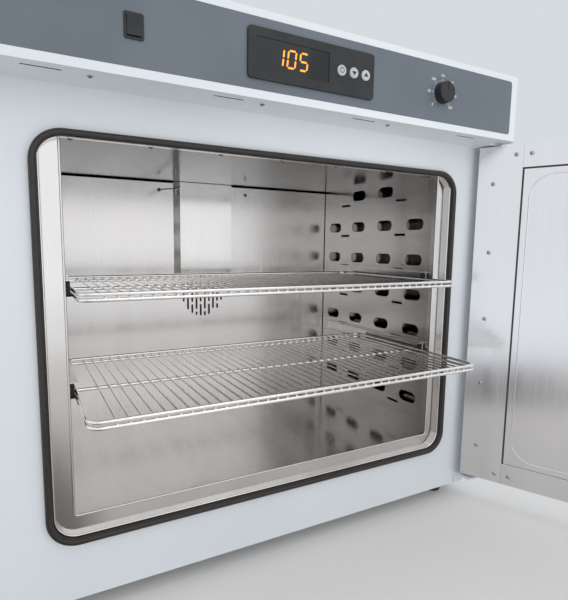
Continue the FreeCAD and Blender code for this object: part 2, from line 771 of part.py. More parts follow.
def fan_impeller():
    front = BACK + 6
    plate_y = LINER_BACK - 9
    disc = rod((FAN_X, plate_y, FAN_Z), (0, 1, 0), IMPELLER_R, 1.5)
    hub = rod((FAN_X, front + 2, FAN_Z), (0, 1, 0), SHAFT_R + HUB_WALL, plate_y - front - 1)
    ring = rod((FAN_X, front, FAN_Z), (0, 1, 0), IMPELLER_R, 1.5)
    eye = rod((FAN_X, front - 1, FAN_Z), (0, 1, 0), IMPELLER_R - BLADE_L, 4)
    pieces = [disc, hub, ring.cut(eye)]
    for i in range(BLADE_COUNT):
        blade = block(
            (IMPELLER_R - BLADE_L + 1, IMPELLER_R - 1), (front + 0.5, plate_y + 0.5), (-0.8, 0.8)
        )
        blade.rotate(V(IMPELLER_R - BLADE_L / 2, 0, 0), V(0, 1, 0), BLADE_ANGLE)
        blade.translate(V(FAN_X, 0, FAN_Z))
        blade.rotate(V(FAN_X, 0, FAN_Z), V(0, 1, 0), i * 360 / BLADE_COUNT)
        pieces.append(blade)
    bore = rod((FAN_X, front - 5, FAN_Z), (0, 1, 0), SHAFT_R + 0.02, PLENUM)
    return join(pieces).cut(bore)


def shaft_bush():
    tube = rod((FAN_X, LINER_BACK - 2, FAN_Z), (0, 1, 0), 2 * SHAFT_R, LINER_T + 12)
    flange = rod((FAN_X, LINER_BACK - 2, FAN_Z), (0, 1, 0), 3 * SHAFT_R, 2)
    bore = rod((FAN_X, LINER_BACK - 5, FAN_Z), (0, 1, 0), SHAFT_R + RUNNING, 30)
    return join([tube, flange]).cut(bore)


def fan_motor():
    """The motor: mounting plate, round can, end boss and terminal box, bored for the shaft."""
    start = WOOL_BACK + SHEET
    can_start = start + MOTOR_PLATE_T
    half = MOTOR_PLATE_W / 2
    plate = block((FAN_X - half, FAN_X + half), (start, can_start), (FAN_Z - half, FAN_Z + half))
    can = rod((FAN_X, can_start, FAN_Z), (0, 1, 0), MOTOR_R, MOTOR_L)
    boss = rod((FAN_X, can_start + MOTOR_L, FAN_Z), (0, 1, 0), MOTOR_R / 3, 8)
    box = block(
        (FAN_X - 26, FAN_X + 26), (start + 16, start + 60), (FAN_Z + 30, FAN_Z + MOTOR_R + 18)
    )
    bore = rod((FAN_X, start - 5, FAN_Z), (0, 1, 0), SHAFT_R + RUNNING, 33)
    return join([plate, can, boss, box]).cut(bore)


def heater_leg_places():
    places = []
    for side in (-1, 1):
        angle = math.radians(-90 + side * HEATER_GAP_DEG / 2)
        places.append((FAN_X + HEATER_R * math.cos(angle), FAN_Z + HEATER_R * math.sin(angle)))
    return places


def heating_element():
    """A tubular ring heater round the impeller; both legs pass out through the rear wall."""
    y = BACK + PLENUM / 2
    start = V(HEATER_R, 0, 0)
    section = Part.Face(Part.Wire(Part.makeCircle(HEATER_WIRE_R, start, V(0, 0, 1))))
    ring = section.revolve(V(0, 0, 0), V(0, 1, 0), 360 - HEATER_GAP_DEG)
    ring.rotate(V(0, 0, 0), V(0, 1, 0), 90 + HEATER_GAP_DEG / 2)
    ring.translate(V(FAN_X, y, FAN_Z))
    pieces = [ring]
    for x, z in heater_leg_places():
        pieces.append(Part.makeSphere(HEATER_WIRE_R, V(x, y, z)))
        pieces.append(rod((x, y, z), (0, 1, 0), HEATER_WIRE_R, WOOL_BACK + SHEET + 22 - y))
    return join(pieces)


def probe_tube(points, radius):
    """A thin tube along straight runs, its bends filled by balls."""
    pieces = []
    for a, b in zip(points, points[1:]):
        pieces.append(Part.makeCylinder(radius, (b - a).Length, a, b - a))
    for p in points[1:]:
        pieces.append(Part.makeSphere(radius, p))
    return join(pieces)


def temperature_probe():
    x = PROBE_X[0]
    rear = V(x, WOOL_BACK + SHEET + 14, PROBE_Z)
    mouth = V(x, BACK - 14, PROBE_Z)
    bend = V(x - 4, BACK - PROBE_REACH + 32, PROBE_Z - PROBE_SAG)
    tip = V(x - 1, BACK - PROBE_REACH, PROBE_Z - PROBE_SAG + 2)
    return probe_tube([rear, mouth, bend, tip], PROBE_R)


def limit_probe():
    x = PROBE_X[1]
    return probe_tube([V(x, WOOL_BACK + SHEET + 14, PROBE_Z), V(x, BACK + 5, PROBE_Z)], PROBE_R)


# Gasket

def door_gasket():
    """A rubber ring with a flat foot and a bulb that the door presses on."""
    half = GASKET_BAND / 2
    foot = upright_ring(
        (-SEAL_X, SEAL_X), (SEAL_LOW, SEAL_HIGH), SEAL_R, GASKET_BAND,
        (FRONT - GASKET_PROUD + half, FRONT),
    )
    path = rounded_wire(
        (-SEAL_X - half, SEAL_LOW - half), (SEAL_X + half, SEAL_HIGH + half), SEAL_R + half,
        lambda a, b: V(a, FRONT - GASKET_PROUD + half, b),
    )
    ridge_room = wire_loop(
        rounded_wire(
            (-SEAL_X + RIDGE_W / 2, SEAL_LOW + RIDGE_W / 2),
            (SEAL_X - RIDGE_W / 2, SEAL_HIGH - RIDGE_W / 2),
            SEAL_R - RIDGE_W / 2, lambda a, b: V(a, FRONT, b),
        ),
        RIDGE_W / 2,
    )
    return join([foot, wire_loop(path, half)]).cut(ridge_room)


# Shelves

def shelf_top(i):
    return hook_slot_rows()[SHELF_ROWS[i]] - SHELF_UNDER[i]


def shelf(i):
    """A chromed wire shelf: two rounded frames, the grid wires between them, a middle bar."""
    front = FRONT - SHELF_OUT[i]
    r = SHELF_WIRE / 2
    upper = shelf_top(i) - r
    lower = upper - FRAME_STEP
    x = SHELF_W / 2 - r
    y = (front + r, front + SHELF_D - r)
    pieces = []
    for z in (upper, lower):
        path = rounded_wire((-x, y[0]), (x, y[1]), SHELF_CORNER, lambda a, b, z=z: V(a, b, z))
        pieces.append(wire_loop(path, r))
    grid_z = upper - FRAME_STEP / 2
    reach = int((SHELF_W / 2 - GRID_MARGIN) / GRID_PITCH)
    for k in range(-reach, reach + 1):
        at = (k * GRID_PITCH, y[0], grid_z)
        pieces.append(rod(at, (0, 1, 0), GRID_WIRE / 2, y[1] - y[0]))
    bar = (-x, front + SHELF_D / 2, lower)
    pieces.append(rod(bar, (1, 0, 0), r, 2 * x))
    return join(pieces)


def rail(side, i):
    """A channel that carries one edge of a shelf; two hooks hold it in the air panel's slots."""
    top = shelf_top(i)
    web_x = (PANEL_X - RAIL_T, PANEL_X)
    reach = (PANEL_X - RAIL_DEPTH, PANEL_X)
    y = (FRONT + RAIL_FRONT, FRONT + RAIL_FRONT + RAIL_L)
    seat = top - SHELF_STACK - FIT
    hook_z = hook_slot_rows()[SHELF_ROWS[i]]
    tab = (hook_z - RAIL_T / 2, hook_z + RAIL_T / 2)
    guard = top + RAIL_GUARD
    pieces = [
        block(web_x, y, (seat - RAIL_T, tab[1])),
        block(reach, y, (seat - RAIL_T, seat)),
        block(reach, y, (guard - RAIL_T, guard)),
    ]
    for shift in (0, HOOK_SPAN):
        middle = FRONT + HOOK_FRONT + shift
        span = (middle - HOOK_SLOT_L / 2 + 2, middle + HOOK_SLOT_L / 2 - 2)
        out = PANEL_X + SHEET + FIT
        pieces.append(block((web_x[0], out + RAIL_T), span, tab))
        pieces.append(block((out, out + RAIL_T), span, (tab[0] - 12, tab[1])))
    solid = join(pieces)
    if side < 0:
        solid = solid.mirror(V(0, 0, 0), V(1, 0, 0))
    return solid


def rail_stops():
    """A rubber block at the front end of each rail, between its web and the shelf."""
    stops = []
    y = (FRONT + RAIL_FRONT, FRONT + RAIL_FRONT + STOP_L)
    for i in range(len(SHELF_ROWS)):
        seat = shelf_top(i) - SHELF_STACK - FIT
        for side in (-1, 1):
            x = sorted((side * (PANEL_X - RAIL_T), side * (SHELF_W / 2 + FIT)))
            stops.append(block(x, y, (seat, shelf_top(i) + RAIL_GUARD - RAIL_T)))
    return Part.makeCompound(stops)


# Door, modelled closed and then turned open about its hinge axis

def turned_open(shape):
    return shape.rotated(V(HINGE_X, HINGE_Y, 0), V(0, 0, 1), DOOR_OPEN)


def spindle_hole(radius):
    return rod((HANDLE_X, DOOR_OUT - 5, HANDLE_Z), (0, 1, 0), radius, DOOR_T + 10)


def bush_room(grow):
    rooms = []
    for z in (DOOR_LOW - 1, DOOR_HIGH - BUSH_L):
        rooms.append(
            rod((HINGE_X, HINGE_Y, z), (0, 0, 1), PIN_R + RUNNING + BUSH_WALL + grow, BUSH_L + 1)
        )
    return rooms


def door_outer_shell():
    tray = block((-SIDE, SIDE), (DOOR_OUT, TRAY_IN), (DOOR_LOW, DOOR_HIGH))
    edges = []
    for edge in tray.Edges:
        points = [v.Point for v in edge.Vertexes]
        if all(abs(p.y - DOOR_OUT) < 1e-6 for p in points):
            edges.append(edge)
    tray = tray.makeFillet(DOOR_EDGE_R, edges)
    hollow = block(
        (SHEET - SIDE, SIDE - SHEET), (DOOR_OUT + SHEET, TRAY_IN + 1),
        (DOOR_LOW + SHEET, DOOR_HIGH - SHEET),
    )
    hollow_edges = []
    for edge in hollow.Edges:
        points = [v.Point for v in edge.Vertexes]
        if all(abs(p.y - DOOR_OUT - SHEET) < 1e-6 for p in points):
            hollow_edges.append(edge)
    hollow = hollow.makeFillet(DOOR_EDGE_R - SHEET, hollow_edges)
    tray = tray.cut(hollow)
    return cut_all(tray, bush_room(RUNNING) + [spindle_hole(SPINDLE_R + 2)])


def door_insulation():
    inset = SHEET + FIT
    y = (DOOR_OUT + inset, PANEL_FRONT - PANEL_T)
    wool = block((inset - SIDE, SIDE - inset), y, (DOOR_LOW + inset, DOOR_HIGH - inset))
    corners = []
    for edge in wool.Edges:
        points = [v.Point for v in edge.Vertexes]
        if all(abs(p.y - y[0]) < 1e-6 for p in points):
            corners.append(edge)
    wool = wool.makeFillet(DOOR_EDGE_R, corners)
    holes = bush_room(1) + [spindle_hole(SPINDLE_R + 2)]
    for place in strip_screw_places():
        holes.append(screw_hole(place, V(0, 1, 0)))
    return cut_all(wool, holes)


def side_strip_screws(side):
    places = []
    for k in range(STRIP_SCREW_COUNT):
        z = DOOR_LOW + STRIP_SCREW_LOW + k * STRIP_SCREW_PITCH
        places.append((side * (SIDE - STRIP_SCREW_IN), DOOR_IN, z))
    for z in (DOOR_LOW + CORNER_SCREW_UP, DOOR_HIGH - CORNER_SCREW_UP):
        places.append((side * (SIDE - CORNER_SCREW_IN), DOOR_IN, z))
    return places


def cross_strip_screws():
    places = []
    reach = SIDE - CROSS_SCREW_IN
    for k in range(CROSS_SCREW_COUNT):
        x = -reach + 2 * reach * k / (CROSS_SCREW_COUNT - 1)
        for z in (DOOR_LOW + CORNER_SCREW_UP, DOOR_HIGH - CORNER_SCREW_UP):
            places.append((x, DOOR_IN, z))
    return places


def strip_screw_places():
    return side_strip_screws(-1) + side_strip_screws(1) + cross_strip_screws()


def door_side_strip(side):
    x = sorted((side * (SIDE - STRIP_W), side * SIDE))
    strip = block(x, (TRAY_IN, DOOR_IN), (DOOR_LOW, DOOR_HIGH))
    holes = [screw_hole(p, V(0, 1, 0)) for p in side_strip_screws(side)]
    if side < 0:
        holes.append(spindle_hole(SPINDLE_R + 2))
    return cut_all(strip, holes)


def door_cross_strips():
    x = (STRIP_W + FIT - SIDE, SIDE - STRIP_W - FIT)
    strips = []
    for z in ((DOOR_LOW, PANEL_LOW), (PANEL_HIGH, DOOR_HIGH)):
        strip = block(x, (TRAY_IN, DOOR_IN), z)
        holes = []
        for place in cross_strip_screws():
            if z[0] < place[2] < z[1]:
                holes.append(screw_hole(place, V(0, 1, 0)))
        strips.append(cut_all(strip, holes))
    return Part.makeCompound(strips)


def door_inner_panel():
    """The stainless inner sheet, set in behind the strips, with an embossed rounded line."""
    x = (STRIP_W + PANEL_GAP - SIDE, SIDE - STRIP_W - PANEL_GAP)
    z = (PANEL_LOW, PANEL_HIGH - PANEL_GAP)
    sheet = block(x, (PANEL_FRONT - PANEL_T, PANEL_FRONT), z)
    path = rounded_wire(
        (x[0] + BEAD_IN, z[0] + BEAD_IN), (x[1] - BEAD_IN, z[1] - BEAD_IN), GASKET_CORNER,
        lambda a, b: V(a, PANEL_FRONT - 1.1, b),
    )
    bead = wire_loop(path, 1.6)
    bead = bead.cut(block((-SIDE, SIDE), (DOOR_OUT, PANEL_FRONT - PANEL_T / 2), (0, CABINET_H)))
    return sheet.fuse(bead).removeSplitter()


def door_screws():
    return Part.makeCompound([domed_screw(p, V(0, 1, 0)) for p in strip_screw_places()])


def hinge_bushes():
    bushes = []
    for z in (DOOR_LOW, DOOR_HIGH - BUSH_L):
        at = (HINGE_X, HINGE_Y, z)
        body = rod(at, (0, 0, 1), PIN_R + RUNNING + BUSH_WALL, BUSH_L)
        bore = rod((HINGE_X, HINGE_Y, z - 1), (0, 0, 1), PIN_R + RUNNING, BUSH_L + 2)
        bushes.append(body.cut(bore))
    return Part.makeCompound(bushes)


def hinge_bracket_top():
    z = LEDGE_Z - BRACKET_T
    plate = block(BRACKET_X, (BRACKET_FRONT, FRONT - FIT), (z, LEDGE_Z))
    pin = rod((HINGE_X, HINGE_Y, DOOR_HIGH - BUSH_L + 1), (0, 0, 1), PIN_R, z - DOOR_HIGH + BUSH_L)
    return join([plate, pin])


def hinge_bracket_bottom():
    z = DOOR_LOW - DOOR_TOP_GAP + 1
    plate = block(BRACKET_X, (BRACKET_FRONT, FRONT), (z - BRACKET_T, z))
    flange = block((BRACKET_X[0], SIDE - EDGE_R), (FRONT - BRACKET_T, FRONT), (FOOT_H + 3, z))
    pin = rod((HINGE_X, HINGE_Y, z - 1), (0, 0, 1), PIN_R, DOOR_LOW + BUSH_L - z)
    return join([plate, flange, pin])


# Handle and latch

def handle_rose():
    disc = rod((HANDLE_X, DOOR_OUT - ROSE_T, HANDLE_Z), (0, 1, 0), ROSE_R, ROSE_T)
    bore = rod((HANDLE_X, DOOR_OUT - 10, HANDLE_Z), (0, 1, 0), SPINDLE_R + RUNNING, 20)
    return disc.cut(bore)


def latch_spindle():
    start = DOOR_OUT - 30
    tip = FRONT + SHEET + KEEPER_T + 1.3
    stem = rod((HANDLE_X, start, HANDLE_Z), (0, 1, 0), SPINDLE_R, tip + 1 - start)
    bar = block(
        (HANDLE_X - LATCH_W / 2, HANDLE_X + LATCH_W / 2), (tip, tip + LATCH_T),
        (HANDLE_Z - LATCH_HALF, HANDLE_Z + LATCH_HALF),
    )
    return join([stem, bar])


def handle_lever():
    """A lever turned by hand: a hub on the spindle and a rounded grip."""
    back = DOOR_OUT - ROSE_T - FIT
    face = back - HUB_L
    hub = rod((HANDLE_X, face, HANDLE_Z), (0, 1, 0), HUB_R, HUB_L)
    grip = block(
        (HANDLE_X - HUB_R + 2, HANDLE_X + LEVER_L), (face, face + LEVER_T),
        (HANDLE_Z - LEVER_H / 2, HANDLE_Z + LEVER_H / 2),
    )
    grip = grip.makeFillet(LEVER_EDGE_R, grip.Edges)
    bore = rod((HANDLE_X, face + 4, HANDLE_Z), (0, 1, 0), SPINDLE_R + 0.02, 40)
    return join([hub, grip]).cut(bore)


def latch_keeper():
    x = (HANDLE_X - 18, HANDLE_X + 18)
    y = (FRONT + SHEET, FRONT + SHEET + KEEPER_T)
    plate = upright_plate(x, (HANDLE_Z - LATCH_HALF - 14, HANDLE_Z + LATCH_HALF + 14), 5, y)
    return plate.cut(keeper_slot(30))


# Controls

def controller_module():
    """The controller: a bezel on the fascia and its box behind, with key and window openings."""
    z = (FASCIA_MID - BEZEL_H / 2, FASCIA_MID + BEZEL_H / 2)
    bezel = upright_plate(
        (-BEZEL_W / 2, BEZEL_W / 2), z, 6, (HOUSING_FRONT - BEZEL_PROUD, HOUSING_FRONT)
    )
    rim = BEZEL_RIM + FIT
    box = block(
        (rim - BEZEL_W / 2, BEZEL_W / 2 - rim), (HOUSING_FRONT, HOUSING_FRONT + CONTROLLER_DEPTH),
        (z[0] + rim, z[1] - rim),
    )
    cutters = [
        upright_plate(
            window_x(), window_z(), 3, (HOUSING_FRONT - BEZEL_PROUD - 1, HOUSING_FRONT - 2)
        )
    ]
    for x in key_places():
        cutters.append(
            rod((x, HOUSING_FRONT - 10, FASCIA_MID), (0, 1, 0), KEY_R + FIT, 10 + KEY_ROOM)
        )
    return cut_all(join([bezel, box]), cutters)


def window_x():
    return (WINDOW_X - WINDOW_W / 2, WINDOW_X + WINDOW_W / 2)


def window_z():
    return (FASCIA_MID - WINDOW_H / 2, FASCIA_MID + WINDOW_H / 2)


def key_places():
    return [KEY_X + k * KEY_PITCH for k in range(3)]


def display_window():
    x = window_x()
    z = window_z()
    y = (HOUSING_FRONT - BEZEL_PROUD + 1, HOUSING_FRONT - 2)
    return upright_plate((x[0] + FIT, x[1] - FIT), (z[0] + FIT, z[1] - FIT), 2.5, y)


def control_key(i):
    start = HOUSING_FRONT - BEZEL_PROUD - KEY_PROUD
    key = rod((key_places()[i], start, FASCIA_MID), (0, 1, 0), KEY_R, KEY_PROUD + BEZEL_PROUD + 8)
    front = [e for e in key.Edges if abs(e.CenterOfMass.y - start) < 1e-6]
    return key.makeFillet(1.2, front)


def power_rocker():
    """A rocker that tips about a level axis behind the fascia."""
    half_h = ROCKER_H / 2 - ROCKER_PLAY
    z = (FASCIA_MID - half_h, FASCIA_MID + half_h)
    x = (ROCKER_X - ROCKER_W / 2 + 1, ROCKER_X + ROCKER_W / 2 - 1)
    face = HOUSING_FRONT - ROCKER_PROUD
    rear = HOUSING_FRONT + 2 * ROCKER_PIN_IN
    outline = [
        V(x[0], face, z[1]), V(x[0], face + 3, FASCIA_MID), V(x[0], face + 2, z[0]),
        V(x[0], rear, z[0] + 4), V(x[0], rear, z[1] - 4), V(x[0], face, z[1]),
    ]
    body = Part.Face(Part.makePolygon(outline)).extrude(V(x[1] - x[0], 0, 0))
    pin_at = (x[0] - 1, ROCKER_PIN_Y, FASCIA_MID)
    return body.cut(rod(pin_at, (1, 0, 0), ROCKER_PIN_R + RUNNING, ROCKER_W))


def switch_frame():
    """The rocker's frame, clipped into the fascia, with the pin that the rocker tips on."""
    half_w = ROCKER_W / 2
    half_h = ROCKER_H / 2
    rim = upright_plate(
        (ROCKER_X - half_w - 3, ROCKER_X + half_w + 3),
        (FASCIA_MID - half_h - 3, FASCIA_MID + half_h + 3), 3,
        (HOUSING_FRONT - 1.5, HOUSING_FRONT),
    )
    body = block(
        (ROCKER_X - half_w, ROCKER_X + half_w), (HOUSING_FRONT - 1, HOUSING_FRONT + SWITCH_DEPTH),
        (FASCIA_MID - half_h, FASCIA_MID + half_h),
    )
    half_w_in = half_w - SWITCH_WALL
    half_h_in = half_h - SWITCH_WALL
    room = block(
        (ROCKER_X - half_w_in, ROCKER_X + half_w_in),
        (HOUSING_FRONT - 5, HOUSING_FRONT + SWITCH_DEPTH - 8),
        (FASCIA_MID - half_h_in, FASCIA_MID + half_h_in),
    )
    pin_at = (ROCKER_X - half_w, ROCKER_PIN_Y, FASCIA_MID)
    pin = rod(pin_at, (1, 0, 0), ROCKER_PIN_R, ROCKER_W)
    return join([join([rim, body]).cut(room), pin])


def limit_dial():
    """The over-temperature limit knob with its shaft through the fascia."""
    face = HOUSING_FRONT - FIT - DIAL_H
    knob = rod((DIAL_X, face, FASCIA_MID), (0, 1, 0), DIAL_R, DIAL_H)
    edge = [e for e in knob.Edges if abs(e.CenterOfMass.y - face) < 1e-6]
    knob = knob.makeFillet(2, edge)
    groove = block(
        (DIAL_X - 0.8, DIAL_X + 0.8), (face - 1, face + 1), (FASCIA_MID + 4, FASCIA_MID + 30)
    )
    shaft = rod((DIAL_X, face + 4, FASCIA_MID), (0, 1, 0), DIAL_SHAFT_R, DIAL_H + 14)
    return join([knob.cut(groove), shaft])


def limit_thermostat():
    """The switch body behind the fascia that the limit knob's shaft turns in."""
    x = (DIAL_X - 18, DIAL_X + 18)
    y = (FASCIA_IN, FASCIA_IN + 30)
    body = block(x, y, (FASCIA_MID - 22, FASCIA_MID + 22))
    return body.cut(rod((DIAL_X, y[0] - 1, FASCIA_MID), (0, 1, 0), DIAL_SHAFT_R + RUNNING, 20))


def control_board():
    """The power board on the housing's floor: a laminate on four posts, with its parts."""
    z = LEDGE_Z + SHEET
    top = z + POST_H + BOARD_T
    pieces = [block(BOARD_X, BOARD_Y, (z + POST_H, top))]
    for x in (BOARD_X[0] + 2 * POST_R, BOARD_X[1] - 2 * POST_R):
        for y in (BOARD_Y[0] + 2 * POST_R, BOARD_Y[1] - 2 * POST_R):
            pieces.append(rod((x, y, z), (0, 0, 1), POST_R, POST_H + 1))
    for x, y, w, d, h in ((-20, -80, 46, 40, 38), (60, -80, 28, 18, 16), (100, -80, 28, 18, 16)):
        pieces.append(block((x, x + w), (y, y + d), (top - 0.6, top + h)))
    return join(pieces)


# Rear fittings

def exhaust_tube():
    start = LINER_BACK + LINER_T
    length = REAR + EXHAUST_OUT - start
    tube = rod((EXHAUST_X, start, EXHAUST_Z), (0, 1, 0), EXHAUST_R, length)
    bore = rod((EXHAUST_X, start - 1, EXHAUST_Z), (0, 1, 0), EXHAUST_R - EXHAUST_WALL, length + 2)
    spindle_at = (EXHAUST_X, FLAP_Y, EXHAUST_Z)
    return tube.cut(bore).cut(rod(spindle_at, (0, 0, 1), FLAP_SPINDLE_R + RUNNING, 40))


def damper_flap():
    """The exhaust flap: a disc on an upright spindle, turned by a lever on top of the stub."""
    disc_r = EXHAUST_R - EXHAUST_WALL - FLAP_PLAY
    disc = rod((EXHAUST_X - FLAP_T / 2, FLAP_Y, EXHAUST_Z), (1, 0, 0), disc_r, FLAP_T)
    top = EXHAUST_Z + EXHAUST_R + 10
    foot = (EXHAUST_X, FLAP_Y, EXHAUST_Z - 8)
    spindle = rod(foot, (0, 0, 1), FLAP_SPINDLE_R, top - EXHAUST_Z + 8)
    lever = block((EXHAUST_X - 4, EXHAUST_X + 4), (FLAP_Y - 6, FLAP_Y + 26), (top - 3, top))
    boss = rod((EXHAUST_X, FLAP_Y, top - 4), (0, 0, 1), 6, 5)
    return join([disc, spindle, lever, boss])


def mains_inlet():
    """The mains inlet: a flanged body with a recess and three flat contact blades."""
    x = (INLET_X - INLET_W / 2, INLET_X + INLET_W / 2)
    z = (INLET_Z - INLET_H / 2, INLET_Z + INLET_H / 2)
    body = block(x, (REAR - INLET_DEPTH, REAR + 3), z)
    flange = upright_plate((x[0] - 6, x[1] + 6), (z[0] - 4, z[1] + 4), 4, (REAR, REAR + 3))
    recess = block((x[0] + 7, x[1] - 7), (REAR - INLET_RECESS, REAR + 4), (z[0] + 12, z[1] - 12))
    blades = []
    for dx in (-BLADE_PITCH, 0, BLADE_PITCH):
        blade_x = (INLET_X + dx - 1.2, INLET_X + dx + 1.2)
        blade_y = (REAR - INLET_RECESS - 1, REAR - 2)
        blades.append(block(blade_x, blade_y, (INLET_Z - 4, INLET_Z + 4)))
    return join([join([body, flange]).cut(recess)] + blades)


# Each node's name and its solid

NODES = {
    "base_pan": base_pan,
    "levelling_feet": levelling_feet,
    "front_frame": front_frame,
    "left_side_panel": lambda: side_panel(-1),
    "right_side_panel": lambda: side_panel(1),
    "rear_panel": rear_panel,
    "housing_floor": housing_floor,
    "control_housing": control_housing,
    "fascia_panel": fascia_panel,
    "insulation": insulation,
    "rear_bulkhead": rear_bulkhead,
    "inner_liner": inner_liner,
    "front_surround": front_surround,
    "cabinet_screws": cabinet_screws,
    "left_air_panel": lambda: air_panel(-1),
    "right_air_panel": lambda: air_panel(1),
    "back_panel": back_panel,
    "centre_cover": centre_cover,
    "fan_shaft": fan_shaft,
    "fan_impeller": fan_impeller,
    "shaft_bush": shaft_bush,
    "fan_motor": fan_motor,
    "heating_element": heating_element,
    "temperature_probe": temperature_probe,
    "limit_probe": limit_probe,
    "door_gasket": door_gasket,
    "upper_shelf": lambda: shelf(0),
    "lower_shelf": lambda: shelf(1),
    "rail_upper_left": lambda: rail(-1, 0),
    "rail_upper_right": lambda: rail(1, 0),
    "rail_lower_left": lambda: rail(-1, 1),
    "rail_lower_right": lambda: rail(1, 1),
    "rail_stops": rail_stops,
    "hinge_bracket_top": hinge_bracket_top,
    "hinge_bracket_bottom": hinge_bracket_bottom,
    "latch_keeper": latch_keeper,
    "controller_module": controller_module,
    "display_window": display_window,
    "key_set": lambda: control_key(0),
    "key_down": lambda: control_key(1),
    "key_up": lambda: control_key(2),
    "power_rocker": power_rocker,
    "switch_frame": switch_frame,
    "limit_dial": limit_dial,
    "limit_thermostat": limit_thermostat,
    "control_board": control_board,
    "exhaust_tube": exhaust_tube,
    "damper_flap": damper_flap,
    "mains_inlet": mains_inlet,
}

DOOR_NODES = {
    "door_outer_shell": door_outer_shell,
    "door_insulation": door_insulation,
    "door_strip_hinge_side": lambda: door_side_strip(1),
    "door_strip_latch_side": lambda: door_side_strip(-1),
    "door_cross_strips": door_cross_strips,
    "door_inner_panel": door_inner_panel,
    "door_screws": door_screws,
    "hinge_bushes": hinge_bushes,
    "handle_rose": handle_rose,
    "handle_lever": handle_lever,
    "latch_spindle": latch_spindle,
}

os.makedirs("parts", exist_ok=True)
for name, make in NODES.items():
    make().exportStep(f"parts/{name}.step")
for name, make in DOOR_NODES.items():
    turned_open(make()).exportStep(f"parts/{name}.step")
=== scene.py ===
import json
import math

import bmesh
import bpy
from mathutils import Matrix, Vector


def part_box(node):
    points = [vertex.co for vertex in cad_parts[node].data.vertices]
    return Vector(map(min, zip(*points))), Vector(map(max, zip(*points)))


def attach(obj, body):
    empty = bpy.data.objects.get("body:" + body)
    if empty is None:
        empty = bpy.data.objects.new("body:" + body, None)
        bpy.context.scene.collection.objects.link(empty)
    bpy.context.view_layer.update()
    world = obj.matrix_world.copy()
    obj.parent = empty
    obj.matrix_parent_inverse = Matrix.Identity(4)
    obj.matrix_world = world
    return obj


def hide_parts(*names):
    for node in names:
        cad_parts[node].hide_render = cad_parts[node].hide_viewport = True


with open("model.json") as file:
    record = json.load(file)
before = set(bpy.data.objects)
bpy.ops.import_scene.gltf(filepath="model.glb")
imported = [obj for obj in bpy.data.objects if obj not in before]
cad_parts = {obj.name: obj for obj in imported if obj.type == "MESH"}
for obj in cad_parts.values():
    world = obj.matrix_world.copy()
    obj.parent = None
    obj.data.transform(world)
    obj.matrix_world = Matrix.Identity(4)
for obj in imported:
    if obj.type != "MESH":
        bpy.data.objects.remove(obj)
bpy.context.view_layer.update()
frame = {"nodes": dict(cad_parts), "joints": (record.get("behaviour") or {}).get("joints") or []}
parts = frame["nodes"]

# Camera: a person's eye in front of the left door post, looking into the chamber and slightly
# down, as in the photograph. The position is in metres, the angles in degrees.
eye = Vector((-0.4569, -1.1523, 0.6302))
heading, tilt, lean = (math.radians(a) for a in (27.806, -7.017, 0.633))
ahead = Vector((
    math.sin(heading) * math.cos(tilt), math.cos(heading) * math.cos(tilt), math.sin(tilt)
))
level = Vector((math.cos(heading), -math.sin(heading), 0))
above = level.cross(ahead)
right = level * math.cos(lean) + above * math.sin(lean)
top = above * math.cos(lean) - level * math.sin(lean)
camera = bpy.data.objects.new("camera", bpy.data.cameras.new("camera"))
camera.matrix_world = Matrix.Translation(eye) @ Matrix((right, top, -ahead)).transposed().to_4x4()
camera.data.lens = 28.62
camera.data.sensor_width = 36
camera.data.shift_x = 0.0209
camera.data.shift_y = 0.0072
bpy.context.scene.collection.objects.link(camera)
bpy.context.scene.camera = camera
bpy.context.scene.view_settings.view_transform = "Standard"


# Floor: matt pale studio floor that takes the oven's soft shadow. In the steel it mirrors in two
# painted tones: a warm grey with painted shade that darkens it at the oven's left, and a painted
# near-white reflection beyond, as in the photograph.
# Its material is the first one, so the functions that build every material are here.
def linear(code):
    """An sRGB hex colour as the linear RGBA that sockets take."""
    steps = (int(code[i:i + 2], 16) / 255 for i in (0, 2, 4))
    return (*(s / 12.92 if s <= 0.04045 else ((s + 0.055) / 1.055) ** 2.4 for s in steps), 1)


def add(tree, kind, inputs=None, **settings):
    """Adds a node. Each input is a plain value, or an output of another node to link from."""
    made = tree.nodes.new(kind)
    for name, value in settings.items():
        setattr(made, name, value)
    for socket, value in (inputs or {}).items():
        if isinstance(value, bpy.types.NodeSocket):
            tree.links.new(value, made.inputs[socket])
        else:
            made.inputs[socket].default_value = value
    return made


def ramp(tree, factor, stops):
    """A colour ramp from a list of (place, hex colour or grey value)."""
    made = add(tree, "ShaderNodeValToRGB", {"Fac": factor})
    while len(made.color_ramp.elements) < len(stops):
        made.color_ramp.elements.new(0.5)
    for element, (place, tone) in zip(made.color_ramp.elements, stops):
        element.position = place
        element.color = linear(tone) if isinstance(tone, str) else (tone, tone, tone, 1)
    return made.outputs["Color"]


def material_base(name, **sockets):
    """A material with a Principled shader: its name, its tree, its shader."""
    material = bpy.data.materials.new(name)
    material.use_nodes = True
    shader = material.node_tree.nodes["Principled BSDF"]
    for socket, value in sockets.items():
        shader.inputs[socket.replace("_", " ")].default_value = value
    return material, material.node_tree, shader


def surface(tree, shader, colour=None, roughness=None, height=None, depth=0.0001):
    """Links the patterns to the shader; height is a 0 to 1 pattern, depth its size in metres."""
    if colour:
        tree.links.new(colour, shader.inputs["Base Color"])
    if roughness:
        tree.links.new(roughness, shader.inputs["Roughness"])
    if height:
        bump = add(tree, "ShaderNodeBump", {"Height": height, "Distance": depth})
        tree.links.new(bump.outputs["Normal"], shader.inputs["Normal"])


